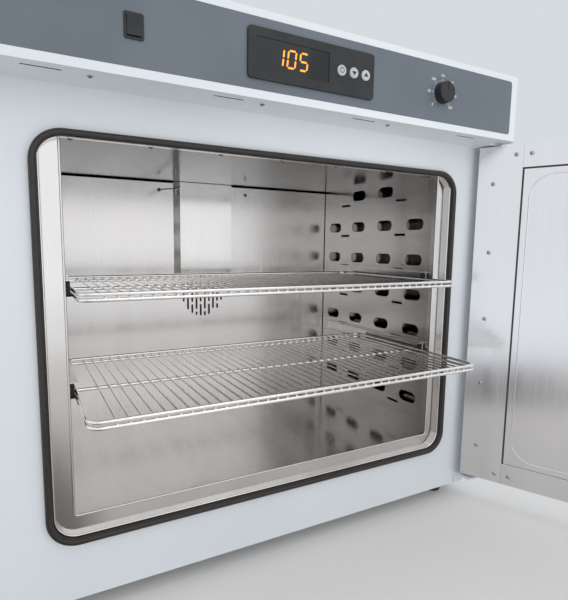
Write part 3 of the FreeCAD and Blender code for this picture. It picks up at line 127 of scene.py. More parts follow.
def object_noise(tree, feature_mm, detail=2.0, stretch=(1, 1, 1)):
    """Noise on Object coordinates with features of about feature_mm; stretch lengthens them."""
    coords = add(tree, "ShaderNodeTexCoord").outputs["Object"]
    scale = [1000 / (feature_mm * s) for s in stretch]
    placed = add(tree, "ShaderNodeMapping", {"Vector": coords, "Scale": scale})
    noise = add(
        tree, "ShaderNodeTexNoise",
        {"Vector": placed.outputs["Vector"], "Scale": 1, "Detail": detail},
    )
    return noise.outputs["Fac"]


def spread(tree, pattern, low, high):
    """Maps a noise pattern, which stays near 0.3 to 0.7, to the range low to high."""
    made = add(
        tree, "ShaderNodeMapRange",
        {"Value": pattern, "From Min": 0.3, "From Max": 0.7, "To Min": low, "To Max": high},
    )
    return made.outputs["Result"]


floor_finish, tree, shader = material_base("matt_studio_floor", Roughness=0.9)
paper = ramp(tree, object_noise(tree, 900), [(0.3, "D2CCC8"), (0.7, "D8D3CF")])
place = add(
    tree, "ShaderNodeSeparateXYZ", {0: add(tree, "ShaderNodeTexCoord").outputs["Object"]}
)


def fade(axis, start, end):
    """Rises smoothly from 0 at one place along an axis to 1 at another."""
    made = add(
        tree, "ShaderNodeMapRange",
        {"Value": place.outputs[axis], "From Min": start, "From Max": end},
        interpolation_type="SMOOTHSTEP",
    )
    return made.outputs["Result"]


# Painted reflection: far off, glossy rays see the floor near white instead of its own colour.
beyond = add(
    tree, "ShaderNodeMath", {0: fade("X", -1.0, -1.06), 1: fade("Y", -2.35, -2.41)},
    operation="MAXIMUM",
)
# Painted shade: near the oven's left front, glossy rays see the floor darkened towards 75706C,
# standing in for the oven's shadow.
painted_shade_near_oven = add(
    tree, "ShaderNodeMath", {0: fade("X", -0.27, -0.39), 1: fade("Y", -1.6, -0.7)},
    operation="MULTIPLY",
)
shaded = add(
    tree, "ShaderNodeMix",
    {"Factor": painted_shade_near_oven.outputs["Value"], "A": paper, "B": linear("75706C")}, data_type="RGBA",
)
painted_reflection_tone = add(
    tree, "ShaderNodeMix",
    {"Factor": beyond.outputs["Value"], "A": shaded.outputs["Result"], "B": linear("ECEEF0")},
    data_type="RGBA",
)
pale = ramp(tree, object_noise(tree, 900), [(0.3, "E0DEDC"), (0.7, "E5E3E1")])
mirrored_floor = add(
    tree, "ShaderNodeMix",
    {"Factor": add(tree, "ShaderNodeLightPath").outputs["Is Glossy Ray"], "A": pale,
     "B": painted_reflection_tone.outputs["Result"]},
    data_type="RGBA",
)
surface(tree, shader, colour=mirrored_floor.outputs["Result"])
sheet = bpy.data.meshes.new("studio_floor")
reach = 14
sheet.from_pydata(
    [(-reach, -reach, 0), (reach, -reach, 0), (reach, reach, 0), (-reach, reach, 0)], [],
    [(0, 1, 2, 3)],
)
sheet.materials.append(floor_finish)
floor = bpy.data.objects.new("studio_floor", sheet)
bpy.context.scene.collection.objects.link(floor)


# Light: an even pale room, which the camera and the metals see as near white, a large soft
# panel ahead of the oven, one above it, and a small gridded one low in front, which lights the
# housing's underside and not the floor.
world = bpy.data.worlds.new("pale_room")
world.use_nodes = True
bpy.context.scene.world = world
tree = world.node_tree
tree.nodes.clear()
paths = add(tree, "ShaderNodeLightPath")
seen = add(
    tree, "ShaderNodeMath",
    {0: paths.outputs["Is Camera Ray"], 1: paths.outputs["Is Glossy Ray"]}, operation="MAXIMUM",
)
tone = add(
    tree, "ShaderNodeMix",
    {"Factor": paths.outputs["Is Camera Ray"], "A": linear("EFF1F4"), "B": linear("D6DBDF")},
    data_type="RGBA",
)
strength = add(
    tree, "ShaderNodeMapRange", {"Value": seen.outputs["Value"], "To Min": 1.24, "To Max": 1.0}
)
sky = add(
    tree, "ShaderNodeBackground",
    {"Color": tone.outputs["Result"], "Strength": strength.outputs["Result"]},
)
add(tree, "ShaderNodeOutputWorld", {"Surface": sky.outputs["Background"]})


def soft_panel(name, place, target, width, watts, spread_angle=180, mirrored=True):
    lamp = bpy.data.lights.new(name, "AREA")
    lamp.spread = math.radians(spread_angle)
    lamp.size = width
    lamp.energy = watts
    lamp.color = (1.0, 0.985, 0.965)
    holder = bpy.data.objects.new(name, lamp)
    direction = Vector(target) - Vector(place)
    holder.matrix_world = (
        Matrix.Translation(place) @ direction.to_track_quat("-Z", "Y").to_matrix().to_4x4()
    )
    holder.visible_camera = False
    holder.visible_glossy = mirrored
    bpy.context.scene.collection.objects.link(holder)


soft_panel("front_panel", (0.2, -3.6, 1.6), (0, 0, 0.5), 3.2, 10)
soft_panel("low_panel", (0.2, -1.2, 0.2), (0.2, -0.38, 0.86), 0.4, 0.45, 75, mirrored=False)
soft_panel("top_panel", (0.8, -1.4, 3.2), (0, 0, 0.6), 1.8, 6)


# Casing: folded steel sheet with a pale blue-grey powder coat, baked on. The coat has a fine
# orange-peel grain of about 1.5 mm and a satin sheen. The grain is drawn at 2 mm to show. Inside
# the housing's top and on the walls of the vent slots under it, the coat carries a painted
# near-black shade, so that the slots read dark.
def dress(finish, *names):
    """Gives CAD nodes their finish."""
    for name in names:
        slots = parts[name].data.materials
        slots.clear()
        slots.append(finish)


def toned(tree, colour, low, high, code):
    """The colour, but another one for what lies between two corners, in metres."""
    coords = add(tree, "ShaderNodeTexCoord").outputs["Object"]
    middle = [(a + b) / 2 for a, b in zip(low, high)]
    half = [(b - a) / 2 for a, b in zip(low, high)]
    off = add(tree, "ShaderNodeVectorMath", {0: coords, 1: middle}, operation="SUBTRACT")
    size = add(tree, "ShaderNodeVectorMath", {0: off.outputs[0]}, operation="ABSOLUTE")
    share = add(tree, "ShaderNodeVectorMath", {0: size.outputs[0], 1: half}, operation="DIVIDE")
    axes = add(tree, "ShaderNodeSeparateXYZ", {0: share.outputs[0]}).outputs
    widest = add(tree, "ShaderNodeMath", {0: axes["X"], 1: axes["Y"]}, operation="MAXIMUM")
    widest = add(
        tree, "ShaderNodeMath", {0: widest.outputs[0], 1: axes["Z"]}, operation="MAXIMUM"
    )
    inside = add(tree, "ShaderNodeMath", {0: widest.outputs[0], 1: 1.0}, operation="LESS_THAN")
    made = add(
        tree, "ShaderNodeMix", {"Factor": inside.outputs[0], "A": colour, "B": linear(code)},
        data_type="RGBA",
    )
    return made.outputs["Result"]


powder_coat, tree, shader = material_base("powder_coated_steel", Roughness=0.42)
peel = object_noise(tree, 2.0, detail=1.0)
clouds = object_noise(tree, 260)
coat = ramp(tree, clouds, [(0.35, "D5DADE"), (0.65, "D8DDE1")])
# Painted shade: the inside of the housing's top and the walls of its vent slots are coloured near
# black.
for low, high in (
    ((-0.515, -0.41, 0.98), (0.515, 0.33, 0.9994)), ((-0.5, -0.428, 0.8652), (0.5, -0.36, 0.868)),
):
    coat = toned(tree, coat, low, high, "1C1E20")
surface(
    tree, shader, colour=coat,
    roughness=spread(tree, clouds, 0.38, 0.48), height=peel, depth=0.00012,
)
dress(
    powder_coat, "base_pan", "front_frame", "left_side_panel", "right_side_panel", "rear_panel",
    "housing_floor", "control_housing", "door_outer_shell", "hinge_bracket_top",
    "hinge_bracket_bottom",
)

fascia_coat, tree, shader = material_base("powder_coated_fascia", Roughness=0.4)
surface(
    tree, shader,
    colour=ramp(tree, object_noise(tree, 120), [(0.35, "5C666E"), (0.65, "626C74")]),
    height=object_noise(tree, 1.6, detail=1.0), depth=0.0001,
)
dress(fascia_coat, "fascia_panel")


# Chamber and door lining: cold-rolled stainless sheet. The mill finish leaves fine lines along the
# rolling direction and faint cloudy bands; the lines are 0.4 mm wide, drawn at 1.2 mm. The liner
# carries painted shade: darker on its ceiling and behind the side air panels, and darkest in the
# duct behind the back panel.
def rolled_stainless(name, dark, light, grain, smooth, rough, depth=0.000006, zones=()):
    """Stainless steel sheet; grain is the axis its rolling lines follow, 0 to 2; zones are boxes
    coloured with a painted shade tone.
    """
    made, tree, shader = material_base(name, Metallic=1.0)
    along = [1, 1, 1]
    along[grain] = 90
    lines = object_noise(tree, 1.2, detail=3.0, stretch=along)
    broad = [1, 1, 1]
    broad[grain] = 14
    bands = object_noise(tree, 45, detail=2.0, stretch=broad)
    both = add(tree, "ShaderNodeMix", {"Factor": 0.6, "A": lines, "B": bands}, data_type="FLOAT")
    pattern = both.outputs["Result"]
    colour = ramp(tree, pattern, [(0.3, dark), (0.7, light)])
    for low, high, painted_shade in zones:
        colour = toned(tree, colour, low, high, painted_shade)
    surface(
        tree, shader, colour=colour, roughness=spread(tree, pattern, smooth, rough),
        height=lines, depth=depth,
    )
    return made


chamber_steel = rolled_stainless("rolled_stainless_rail", "CDCAC7", "D8D6D4", 2, 0.12, 0.19)
back_steel = rolled_stainless("rolled_stainless_back", "D5D2D0", "DFDDDB", 2, 0.20, 0.28)
side_steel = rolled_stainless("rolled_stainless_side", "C4C0BD", "CFCCC9", 1, 0.13, 0.20)
surround_steel = rolled_stainless("rolled_stainless_surround", "D3D1CF", "DDDBD9", 2, 0.12, 0.20)
door_steel = rolled_stainless("brushed_stainless_door", "E4E5E7", "EBECEE", 2, 0.14, 0.24)
# Painted shade on the liner: the ceiling, the walls behind the air panels and the duct behind the
# back panel are coloured darker.
liner_steel = rolled_stainless(
    "rolled_stainless_liner", "D3D0CD", "DDDBD9", 1, 0.12, 0.19,
    zones=[
        ((-0.5, -0.31, 0.790), (0.5, 0.2, 0.9), "524E4C"),
        ((-0.5, -0.31, 0), (-0.4, 0.2, 0.9), "A09C98"),
        ((0.4, -0.31, 0), (0.5, 0.2, 0.9), "A09C98"),
        ((-0.5, 0.116, 0), (0.5, 0.2, 0.9), "35322F"),
    ],
)
dress(liner_steel, "inner_liner")
dress(back_steel, "back_panel")
dress(side_steel, "left_air_panel", "right_air_panel")
dress(surround_steel, "front_surround", "centre_cover")
dress(
    door_steel, "door_strip_hinge_side", "door_strip_latch_side", "door_cross_strips",
    "door_inner_panel",
)
dress(
    chamber_steel, "rail_upper_left", "rail_upper_right", "rail_lower_left", "rail_lower_right",
    "exhaust_tube", "damper_flap",
)

# Rubber: the gasket is extruded silicone, nearly black brown, with the soft shine of a moulded
# skin. The feet and the blocks at the rails' ends are duller moulded rubber.
moulded_silicone, tree, shader = material_base("moulded_silicone", Roughness=0.4)
shader.inputs["Specular IOR Level"].default_value = 0.45
mottle = object_noise(tree, 9, detail=3.0)
surface(
    tree, shader, colour=ramp(tree, mottle, [(0.35, "262220"), (0.65, "322D2A")]),
    roughness=spread(tree, mottle, 0.34, 0.5), height=object_noise(tree, 1.2), depth=0.00008,
)
dress(moulded_silicone, "door_gasket")

foot_rubber, tree, shader = material_base("moulded_foot_rubber", Roughness=0.7)
surface(
    tree, shader, colour=ramp(tree, object_noise(tree, 5), [(0.35, "1D1D1D"), (0.65, "272726")]),
    height=object_noise(tree, 1.0), depth=0.0001,
)
dress(foot_rubber, "levelling_feet", "rail_stops")

# Shelves: round steel wire, welded and bright chrome-plated. One node tree builds a rack from
# its size: two frames, the grid between them, a middle bar and a weld at each wire's end.
chrome_plate, tree, shader = material_base("bright_chrome_plate", Metallic=1.0)
plate_noise = object_noise(tree, 4, detail=3.0)
surface(
    tree, shader, colour=ramp(tree, plate_noise, [(0.35, "ECEAE8"), (0.65, "F5F4F2")]),
    roughness=spread(tree, plate_noise, 0.05, 0.12), height=plate_noise, depth=0.00001,
)


def geometry_tree(name, inputs):
    """A Geometry Nodes tree with named number inputs; returns the tree and its input node."""
    made = bpy.data.node_groups.new(name, "GeometryNodeTree")
    for label, kind in inputs.items():
        made.interface.new_socket(label, in_out="INPUT", socket_type=kind)
    made.interface.new_socket("Geometry", in_out="OUTPUT", socket_type="NodeSocketGeometry")
    return made, made.nodes.new("NodeGroupInput")


def finish_tree(tree, geometry, finish):
    """Realizes the instances, gives them their material, and ends the tree."""
    real = add(tree, "GeometryNodeRealizeInstances", {"Geometry": geometry})
    smooth = add(tree, "GeometryNodeSetShadeSmooth", {"Geometry": real.outputs["Geometry"]})
    coated = add(
        tree, "GeometryNodeSetMaterial",
        {"Geometry": smooth.outputs["Geometry"], "Material": finish},
    )
    add(tree, "NodeGroupOutput", {"Geometry": coated.outputs["Geometry"]})


def grow(name, tree, values, finish):
    """Runs a tree with these input values and keeps the result as a plain mesh piece."""
    seed = bpy.data.objects.new(name, bpy.data.meshes.new(name + "_seed"))
    bpy.context.scene.collection.objects.link(seed)
    modifier = seed.modifiers.new("grow", "NODES")
    modifier.node_group = tree
    for item in tree.interface.items_tree:
        if item.in_out == "INPUT" and item.name in values:
            modifier[item.identifier] = values[item.name]
    seed.update_tag()
    shaped = seed.evaluated_get(bpy.context.evaluated_depsgraph_get())
    mesh = bpy.data.meshes.new_from_object(shaped)
    seed.modifiers.remove(modifier)
    seed.data = mesh
    mesh.name = name
    mesh.materials.clear()
    mesh.materials.append(finish)
    return seed


NUMBER = "NodeSocketFloat"
shelf_tree, given = geometry_tree("wire_shelf", {
    "Width": NUMBER, "Depth": NUMBER, "Top": NUMBER, "Front": NUMBER, "Frame Wire": NUMBER,
    "Grid Wire": NUMBER, "Drop": NUMBER, "Corner": NUMBER, "Pitch": NUMBER,
    "Count": "NodeSocketInt",
})
tree = shelf_tree


def maths(operation, first, second):
    return add(tree, "ShaderNodeMath", {0: first, 1: second}, operation=operation).outputs[0]


def point(x, y, z):
    return add(tree, "ShaderNodeCombineXYZ", {"X": x, "Y": y, "Z": z}).outputs["Vector"]


def swept(curve, radius, sides):
    """A round wire along a curve."""
    ring = add(tree, "GeometryNodeCurvePrimitiveCircle", {"Resolution": sides, "Radius": radius})
    return add(
        tree, "GeometryNodeCurveToMesh",
        {"Curve": curve, "Profile Curve": ring.outputs["Curve"], "Fill Caps": True},
    ).outputs["Mesh"]


half_wire = maths("MULTIPLY", given.outputs["Frame Wire"], 0.5)
run_w = maths("SUBTRACT", given.outputs["Width"], given.outputs["Frame Wire"])
run_d = maths("SUBTRACT", given.outputs["Depth"], given.outputs["Frame Wire"])
mid_y = maths("ADD", given.outputs["Front"], maths("MULTIPLY", given.outputs["Depth"], 0.5))
high_z = maths("SUBTRACT", given.outputs["Top"], half_wire)
low_z = maths("SUBTRACT", high_z, given.outputs["Drop"])
grid_z = maths("SUBTRACT", high_z, maths("MULTIPLY", given.outputs["Drop"], 0.5))
outline = add(
    tree, "GeometryNodeCurvePrimitiveQuadrilateral", {"Width": run_w, "Height": run_d}
)
bent = add(
    tree, "GeometryNodeFilletCurve",
    {"Curve": outline.outputs["Curve"], "Count": 9, "Radius": given.outputs["Corner"],
     "Limit Radius": True},
    mode="POLY",
)
loop = swept(bent.outputs["Curve"], half_wire, 14)
frames = [
    add(tree, "GeometryNodeTransform", {"Geometry": loop, "Translation": point(0.0, mid_y, z)})
    for z in (high_z, low_z)
]
first_x = maths(
    "MULTIPLY", maths("SUBTRACT", given.outputs["Count"], 1.0),
    maths("MULTIPLY", given.outputs["Pitch"], -0.5),
)
row = add(
    tree, "GeometryNodeMeshLine",
    {"Count": given.outputs["Count"], "Start Location": point(first_x, mid_y, grid_z),
     "Offset": point(given.outputs["Pitch"], 0.0, 0.0)},
)
half_run = maths("MULTIPLY", run_d, 0.5)
single = add(
    tree, "GeometryNodeCurvePrimitiveLine",
    {"Start": point(0.0, maths("MULTIPLY", half_run, -1.0), 0.0), "End": point(0.0, half_run, 0.0)},
)
grid_radius = maths("MULTIPLY", given.outputs["Grid Wire"], 0.5)
wires = add(
    tree, "GeometryNodeInstanceOnPoints",
    {"Points": row.outputs["Mesh"], "Instance": swept(single.outputs["Curve"], grid_radius, 10)},
)
half_w = maths("MULTIPLY", run_w, 0.5)
brace = add(
    tree, "GeometryNodeCurvePrimitiveLine",
    {"Start": point(maths("MULTIPLY", half_w, -1.0), mid_y, low_z),
     "End": point(half_w, mid_y, low_z)},
)
nugget = add(
    tree, "GeometryNodeMeshIcoSphere", {"Radius": maths("MULTIPLY", grid_radius, 1.35)}
)
nuggets = []
for side in (-1.0, 1.0):
    for z in (high_z, low_z):
        weld_z = maths("MULTIPLY", maths("ADD", grid_z, z), 0.5)
        shift = point(0.0, maths("MULTIPLY", half_run, side), maths("SUBTRACT", weld_z, grid_z))
        ends = add(
            tree, "GeometryNodeSetPosition", {"Geometry": row.outputs["Mesh"], "Offset": shift}
        )
        nuggets.append(add(
            tree, "GeometryNodeInstanceOnPoints",
            {"Points": ends.outputs["Geometry"], "Instance": nugget.outputs["Mesh"]},
        ))
joined = add(tree, "GeometryNodeJoinGeometry")
for piece in (
    *(f.outputs["Geometry"] for f in frames), wires.outputs["Instances"],
    swept(brace.outputs["Curve"], half_wire, 14), *(n.outputs["Instances"] for n in nuggets),
):
    tree.links.new(piece, joined.inputs["Geometry"])
finish_tree(tree, joined.outputs["Geometry"], chrome_plate)

for name in ("upper_shelf", "lower_shelf"):
    low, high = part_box(name)
    rack = grow(name + "_wires", shelf_tree, {
        "Width": high.x - low.x, "Depth": high.y - low.y, "Top": high.z, "Front": low.y,
        "Frame Wire": 0.006, "Grid Wire": 0.0036, "Drop": 0.0086, "Corner": 0.018,
        "Pitch": 0.0182, "Count": 39,
    }, chrome_plate)
    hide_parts(name)
    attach(rack, name)

# Small steel parts: zinc-plated screws, latch keeper and spindle, fan shaft and bulkhead. The
# plating has a faint spangle of about 3 mm.
zinc_plate, tree, shader = material_base("bright_zinc_plate", Metallic=1.0)
spangle = object_noise(tree, 3, detail=3.0)
surface(
    tree, shader, colour=ramp(tree, spangle, [(0.35, "A8A8A8"), (0.65, "BEBEBD")]),
    roughness=spread(tree, spangle, 0.25, 0.42), height=spangle, depth=0.00003,
)
dress(
    zinc_plate, "rear_bulkhead", "cabinet_screws", "door_screws", "latch_keeper",
    "latch_spindle", "fan_shaft",
)

# Screw heads: low domes with a pressed cross recess, each left at its own angle when driven
# home. They stand over the plain CAD screws, whose shanks stay in the holes.
HEAD_R, HEAD_H = 0.0048, 0.0028
dome = bmesh.new()
rings = 7
crown = (HEAD_R ** 2 + HEAD_H ** 2) / (2 * HEAD_H)
for step in range(1, rings + 1):
    radius = HEAD_R * step / rings
    for turn in range(24):
        angle = math.tau * turn / 24
        height = HEAD_H - crown + math.sqrt(crown ** 2 - radius ** 2)
        dome.verts.new((radius * math.cos(angle), radius * math.sin(angle), height))
tip = dome.verts.new((0, 0, HEAD_H))
dome.verts.ensure_lookup_table()
for turn in range(24):
    after = (turn + 1) % 24
    dome.faces.new((tip, dome.verts[turn], dome.verts[after]))
    for step in range(1, rings):
        inner, outer = (step - 1) * 24, step * 24
        dome.faces.new((
            dome.verts[inner + turn], dome.verts[outer + turn], dome.verts[outer + after],
            dome.verts[inner + after],
        ))
dome.faces.new([dome.verts[(rings - 1) * 24 + turn] for turn in reversed(range(24))])
head_mesh = bpy.data.meshes.new("screw_head")
dome.to_mesh(head_mesh)
dome.free()
head = bpy.data.objects.new("screw_head", head_mesh)
bpy.context.scene.collection.objects.link(head)
cross_mesh = bpy.data.meshes.new("cross_recess")
arms = bmesh.new()
for wide, deep in ((0.0052, 0.0011), (0.0011, 0.0052)):
    cube = bmesh.ops.create_cube(arms, size=1.0)
    bmesh.ops.scale(arms, vec=(wide, deep, 0.004), verts=cube["verts"])
    bmesh.ops.translate(arms, vec=(0, 0, HEAD_H + 0.0006), verts=cube["verts"])
arms.to_mesh(cross_mesh)
arms.free()
cross = bpy.data.objects.new("cross_recess", cross_mesh)
bpy.context.scene.collection.objects.link(cross)
recess = head.modifiers.new("recess", "BOOLEAN")
recess.object = cross
recess.operation = "DIFFERENCE"
recess.use_self = True
cut_head = bpy.data.meshes.new_from_object(
    head.evaluated_get(bpy.context.evaluated_depsgraph_get())
)
head.modifiers.remove(recess)
head.data = cut_head
bpy.data.objects.remove(cross)

screw_tree, given = geometry_tree("screw_heads", {
    "Geometry": "NodeSocketGeometry", "Head": "NodeSocketObject", "Out": "NodeSocketVector",
    "Seed": "NodeSocketInt",
})
tree = screw_tree
pattern = add(tree, "GeometryNodeObjectInfo", {"Object": given.outputs["Head"]})
aimed = add(
    tree, "FunctionNodeAlignRotationToVector", {"Vector": given.outputs["Out"]}, axis="Z"
)
spun = add(
    tree, "FunctionNodeRandomValue",
    {"Min": 0.0, "Max": math.tau, "Seed": given.outputs["Seed"]}, data_type="FLOAT",
)
about = add(
    tree, "FunctionNodeAxisAngleToRotation",
    {"Axis": (0.0, 0.0, 1.0), "Angle": spun.outputs["Value"]},
)
turned = add(
    tree, "FunctionNodeRotateRotation",
    {"Rotation": aimed.outputs["Rotation"], "Rotate By": about.outputs["Rotation"]},
    rotation_space="LOCAL",
)
heads = add(
    tree, "GeometryNodeInstanceOnPoints",
    {"Points": given.outputs["Geometry"], "Instance": pattern.outputs["Geometry"],
     "Rotation": turned.outputs["Rotation"]},
)
finish_tree(tree, heads.outputs["Instances"], zinc_plate)


def drive_screws(name, places, out, seed, body, node_name):
    """Heads at these points of a sheet's face, as one piece that stands for the CAD screws."""
    cloud = bpy.data.meshes.new(name)
    cloud.from_pydata([tuple(p) for p in places], [], [])
    holder = bpy.data.objects.new(name, cloud)
    bpy.context.scene.collection.objects.link(holder)
    modifier = holder.modifiers.new("heads", "NODES")
    modifier.node_group = screw_tree
    given_values = {"Head": head, "Out": tuple(out), "Seed": seed}
    for item in screw_tree.interface.items_tree:
        if item.in_out == "INPUT" and item.name in given_values:
            modifier[item.identifier] = given_values[item.name]
    shaped = holder.evaluated_get(bpy.context.evaluated_depsgraph_get())
    mesh = bpy.data.meshes.new_from_object(shaped)
    holder.modifiers.remove(modifier)
    holder.data = mesh
    mesh.materials.clear()
    mesh.materials.append(zinc_plate)
    mesh.shade_smooth()
    mesh.set_sharp_from_angle(angle=math.radians(35))
    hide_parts(node_name)
    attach(holder, body)


hinge_joint = next(j for j in frame["joints"] if j["name"] == "door_hinge")
pin = Vector((*hinge_joint["pos_m"][:2], 0))
door_turn = (
    Matrix.Translation(pin) @ Matrix.Rotation(math.radians(115.5), 4, "Z")
    @ Matrix.Translation(-pin)
)
door_low, door_high, door_face, door_half = 0.073, 0.857, -0.359, 0.540
closed_places = []
for side in (-1, 1):
    for k in range(5):
        closed_places.append((side * (door_half - 0.0335), door_low + 0.081 + k * 0.1552))
for z in (door_low + 0.021, door_high - 0.021):
    closed_places += [(-0.462, z), (0.462, z)]
    closed_places += [(-0.432 + 0.144 * k, z) for k in range(7)]
drive_screws(
    "door_screw_heads", [door_turn @ Vector((x, door_face, z)) for x, z in closed_places],
    door_turn.to_3x3() @ Vector((0, 1, 0)), 3, "door", "door_screws",
)
ceiling_places = [(0.007 + 0.128 * i, -0.310, 0.795) for i in range(-3, 4)]
ledge_places = [(x, -0.405, 0.865) for x in (-0.357, -0.0845, 0.188)]
drive_screws(
    "cabinet_screw_heads", ceiling_places + ledge_places, (0, 0, -1), 5, "cabinet",
    "cabinet_screws",
)
bpy.data.objects.remove(head)

# Heater, probes and impeller: drawn alloy tube and sheet that heat has tinted brown. The oxide
# is slightly matt and cloudy.
heat_tint, tree, shader = material_base("heat_tinted_alloy", Metallic=1.0)
tint = object_noise(tree, 24, detail=3.0)
surface(
    tree, shader, colour=ramp(tree, tint, [(0.3, "4D4846"), (0.7, "6E655C")]),
    roughness=spread(tree, tint, 0.35, 0.55), height=tint, depth=0.00003,
)
dress(heat_tint, "heating_element", "temperature_probe", "limit_probe", "fan_impeller")

# Fittings: injection-moulded ABS with a spark-eroded grain of about 0.6 mm, black but for the
# grey keys, and the display's polished acrylic lens.
moulded_black, tree, shader = material_base("moulded_black_abs", Roughness=0.5)
grain = object_noise(tree, 0.6)
surface(
    tree, shader, colour=ramp(tree, object_noise(tree, 40), [(0.35, "1B1D1F"), (0.65, "232527")]),
    roughness=spread(tree, grain, 0.42, 0.6), height=grain, depth=0.00008,
)
dress(
    moulded_black, "controller_module", "switch_frame", "power_rocker", "limit_dial",
    "handle_rose", "handle_lever", "mains_inlet", "limit_thermostat",
)
key_plastic, tree, shader = material_base("moulded_grey_abs", Roughness=0.45)
surface(
    tree, shader, colour=ramp(tree, object_noise(tree, 30), [(0.35, "A9B0B5"), (0.65, "B4BBC0")]),
    height=object_noise(tree, 0.6), depth=0.00006,
)
dress(key_plastic, "key_set", "key_down", "key_up")
display_lens, tree, shader = material_base("polished_dark_acrylic", Roughness=0.08)
surface(
    tree, shader, colour=ramp(tree, object_noise(tree, 60), [(0.35, "0B0E12"), (0.65, "10141A")]),
)
dress(display_lens, "display_window")


# Marks on the controls: pale screen-printed ink on the fascia and keys, 0.2 mm proud so that
# it shows, and lit segments under the display's lens.
def flat_piece(name, outlines, plane_y, thick, finish, body):
    """Thin raised shapes facing the front, from outlines in X and Z, as one piece."""
    made = bmesh.new()
    for outline in outlines:
        front = [made.verts.new((x, plane_y - thick, z)) for x, z in outline]
        back = [made.verts.new((x, plane_y, z)) for x, z in outline]
        made.faces.new(front)
        made.faces.new(list(reversed(back)))
        for i in range(len(outline)):
            j = (i + 1) % len(outline)
            made.faces.new((front[j], front[i], back[i], back[j]))
    bmesh.ops.recalc_face_normals(made, faces=made.faces)
    mesh = bpy.data.meshes.new(name)
    made.to_mesh(mesh)
    made.free()
    mesh.materials.append(finish)
    piece = bpy.data.objects.new(name, mesh)
    bpy.context.scene.collection.objects.link(piece)
    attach(piece, body)


def turned_bar(centre, radius, angle, length, width):
    """A bar that points outwards from a centre, as an outline."""
    across = (math.cos(angle), -math.sin(angle))
    out = (math.sin(angle), math.cos(angle))
    corners = []
    for far, side in ((0, -1), (0, 1), (1, 1), (1, -1)):
        r = radius + far * length
        corners.append((
            centre[0] + out[0] * r + across[0] * side * width / 2,
            centre[1] + out[1] * r + across[1] * side * width / 2,
        ))
    return corners


screen_ink, tree, shader = material_base("screen_printed_ink", Roughness=0.5)
surface(
    tree, shader, colour=ramp(tree, object_noise(tree, 1.5), [(0.35, "DCE2E6"), (0.65, "EDF1F3")]),
)
fascia_y, control_z = -0.432, 0.9331
dial_centre = (0.300, control_z)
flat_piece(
    "dial_scale",
    [
        turned_bar(
            dial_centre, 0.0235, math.radians(9 * k), 0.004 if k % 5 == 0 else 0.0022,
            0.0009 if k % 5 == 0 else 0.0005,
        )
        for k in range(-15, 16)
    ],
    fascia_y, 0.0002, screen_ink, "cabinet",
)


def printed_numbers(name, labels, size, body):
    """Numbers printed on the fascia: labels are (text, x, z), each centred on its place."""
    made = bmesh.new()
    for text, x, z in labels:
        letters = bpy.data.curves.new(name, "FONT")
        letters.body = text
        letters.size = size
        letters.align_x = "CENTER"
        letters.align_y = "CENTER"
        letters.extrude = 0.0001
        letters.resolution_u = 3
        holder = bpy.data.objects.new(name, letters)
        bpy.context.scene.collection.objects.link(holder)
        shaped = holder.evaluated_get(bpy.context.evaluated_depsgraph_get())
        mesh = bpy.data.meshes.new_from_object(shaped)
        mesh.transform(
            Matrix.Translation((x, fascia_y - 0.0001, z)) @ Matrix.Rotation(math.pi / 2, 4, "X")
        )
        made.from_mesh(mesh)
        bpy.data.objects.remove(holder)
    bmesh.ops.remove_doubles(made, verts=made.verts, dist=1e-7)
    mesh = bpy.data.meshes.new(name)
    made.to_mesh(mesh)
    made.free()
    mesh.materials.append(screen_ink)
    piece = bpy.data.objects.new(name, mesh)
    bpy.context.scene.collection.objects.link(piece)
    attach(piece, body)


labels = []
for k in range(7):
    angle = math.radians(-135 + 45 * k)
    labels.append((
        str(50 * k), dial_centre[0] + 0.0345 * math.sin(angle),
        dial_centre[1] + 0.0335 * math.cos(angle),
    ))
printed_numbers("dial_numbers", labels, 0.0075, "cabinet")

# Key marks: arrows up and down, and a plain ring of short bars on the set key. Each mark moves
# with its key.
key_y = -0.432 - 0.004 - 0.003
for name, x, tall in (("key_down", 0.079, -0.0045), ("key_up", 0.105, 0.0045)):
    foot = control_z - tall / 2
    arrow = [(x - 0.0048, foot), (x + 0.0048, foot), (x, control_z + tall)]
    flat_piece(name + "_mark", [arrow], key_y, 0.0002, moulded_black, name)
ring = [
    turned_bar((0.053, control_z), 0.0034, math.radians(30 * k), 0.0012, 0.0018) for k in range(12)
]
flat_piece("key_set_mark", ring, key_y, 0.0002, moulded_black, "key_set")

# Display: seven-segment digits lit pale amber, leaning a little as such digits do. They lie on
# the lens, 0.2 mm thick.
lit_segment, tree, shader = material_base("lit_amber_segment", Roughness=0.3)
glow = ramp(tree, object_noise(tree, 2.0), [(0.3, "F08A24"), (0.7, "FFA43C")])
surface(tree, shader, colour=glow)
tree.links.new(glow, shader.inputs["Emission Color"])
shader.inputs["Emission Strength"].default_value = 0.9
SEGMENTS = {"0": "abcdef", "1": "bc", "5": "acdfg"}
DIGIT_H, DIGIT_W, BAR = 0.027, 0.0145, 0.0030
outlines = []


def segment(x, z, along_x, length):
    """One six-sided segment centred at a place, sheared to lean right."""
    half, thin = length / 2 - 0.0007, BAR / 2
    shape = [
        (-half, 0), (thin - half, -thin), (half - thin, -thin), (half, 0), (half - thin, thin),
        (thin - half, thin),
    ]
    if not along_x:
        shape = [(-b, a) for a, b in shape]
    outlines.append([
        (x + a + (z + b - control_z) * 0.12, z + b) for a, b in shape
    ])


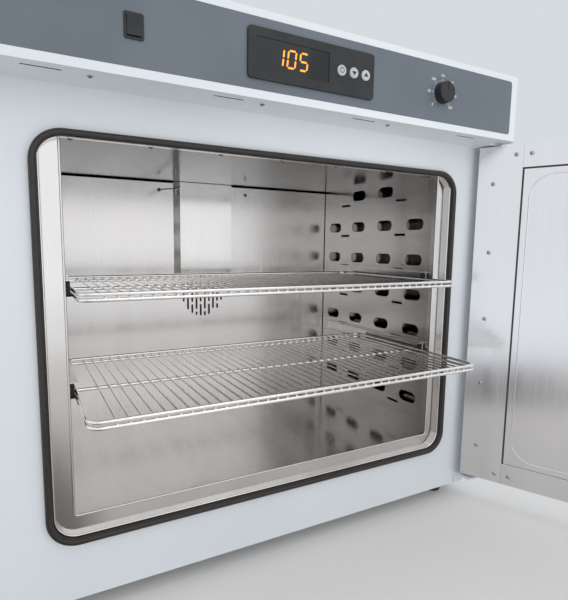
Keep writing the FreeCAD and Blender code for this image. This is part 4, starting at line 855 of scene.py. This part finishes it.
start_x = -0.042 - 0.034
for place, digit in enumerate("105"):
    x0 = start_x + place * 0.023
    mid_x = x0 + DIGIT_W / 2
    half_h = DIGIT_H / 2
    wide, tall = DIGIT_W - 0.001, half_h
    spots = {
        "a": (mid_x, control_z + half_h, True, wide), "g": (mid_x, control_z, True, wide),
        "d": (mid_x, control_z - half_h, True, wide),
        "f": (x0, control_z + half_h / 2, False, tall),
        "b": (x0 + DIGIT_W, control_z + half_h / 2, False, tall),
        "e": (x0, control_z - half_h / 2, False, tall),
        "c": (x0 + DIGIT_W, control_z - half_h / 2, False, tall),
    }
    for letter in SEGMENTS[digit]:
        segment(*spots[letter])
lens_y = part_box("display_window")[0].y
flat_piece("display_digits", outlines, lens_y, 0.0002, lit_segment, "cabinet")

# Hidden pieces: mineral wool slabs, sintered bronze bushes, a cast aluminium motor and a
# laminate board.
wool, tree, shader = material_base("mineral_wool", Roughness=0.95)
fibre = object_noise(tree, 2.5, detail=5.0, stretch=(4, 1, 1))
surface(
    tree, shader, colour=ramp(tree, fibre, [(0.3, "3A3530"), (0.7, "57504A")]), height=fibre,
    depth=0.0008,
)
dress(wool, "insulation", "door_insulation")
bronze, tree, shader = material_base("sintered_bronze", Metallic=1.0)
pores = object_noise(tree, 0.8)
surface(
    tree, shader, colour=ramp(tree, pores, [(0.35, "8A6A3E"), (0.65, "A5824F")]),
    roughness=spread(tree, pores, 0.35, 0.5), height=pores, depth=0.00004,
)
dress(bronze, "shaft_bush", "hinge_bushes")
cast_aluminium, tree, shader = material_base("die_cast_aluminium", Metallic=1.0)
skin = object_noise(tree, 3.0, detail=3.0)
surface(
    tree, shader, colour=ramp(tree, skin, [(0.35, "8E8F90"), (0.65, "A2A3A4")]),
    roughness=spread(tree, skin, 0.45, 0.6), height=skin, depth=0.00008,
)
dress(cast_aluminium, "fan_motor")
laminate, tree, shader = material_base("solder_masked_laminate", Roughness=0.45)
weave = object_noise(tree, 1.4)
surface(
    tree, shader, colour=ramp(tree, weave, [(0.35, "0F4A2C"), (0.65, "155A37")]), height=weave,
    depth=0.00004,
)
dress(laminate, "control_board")
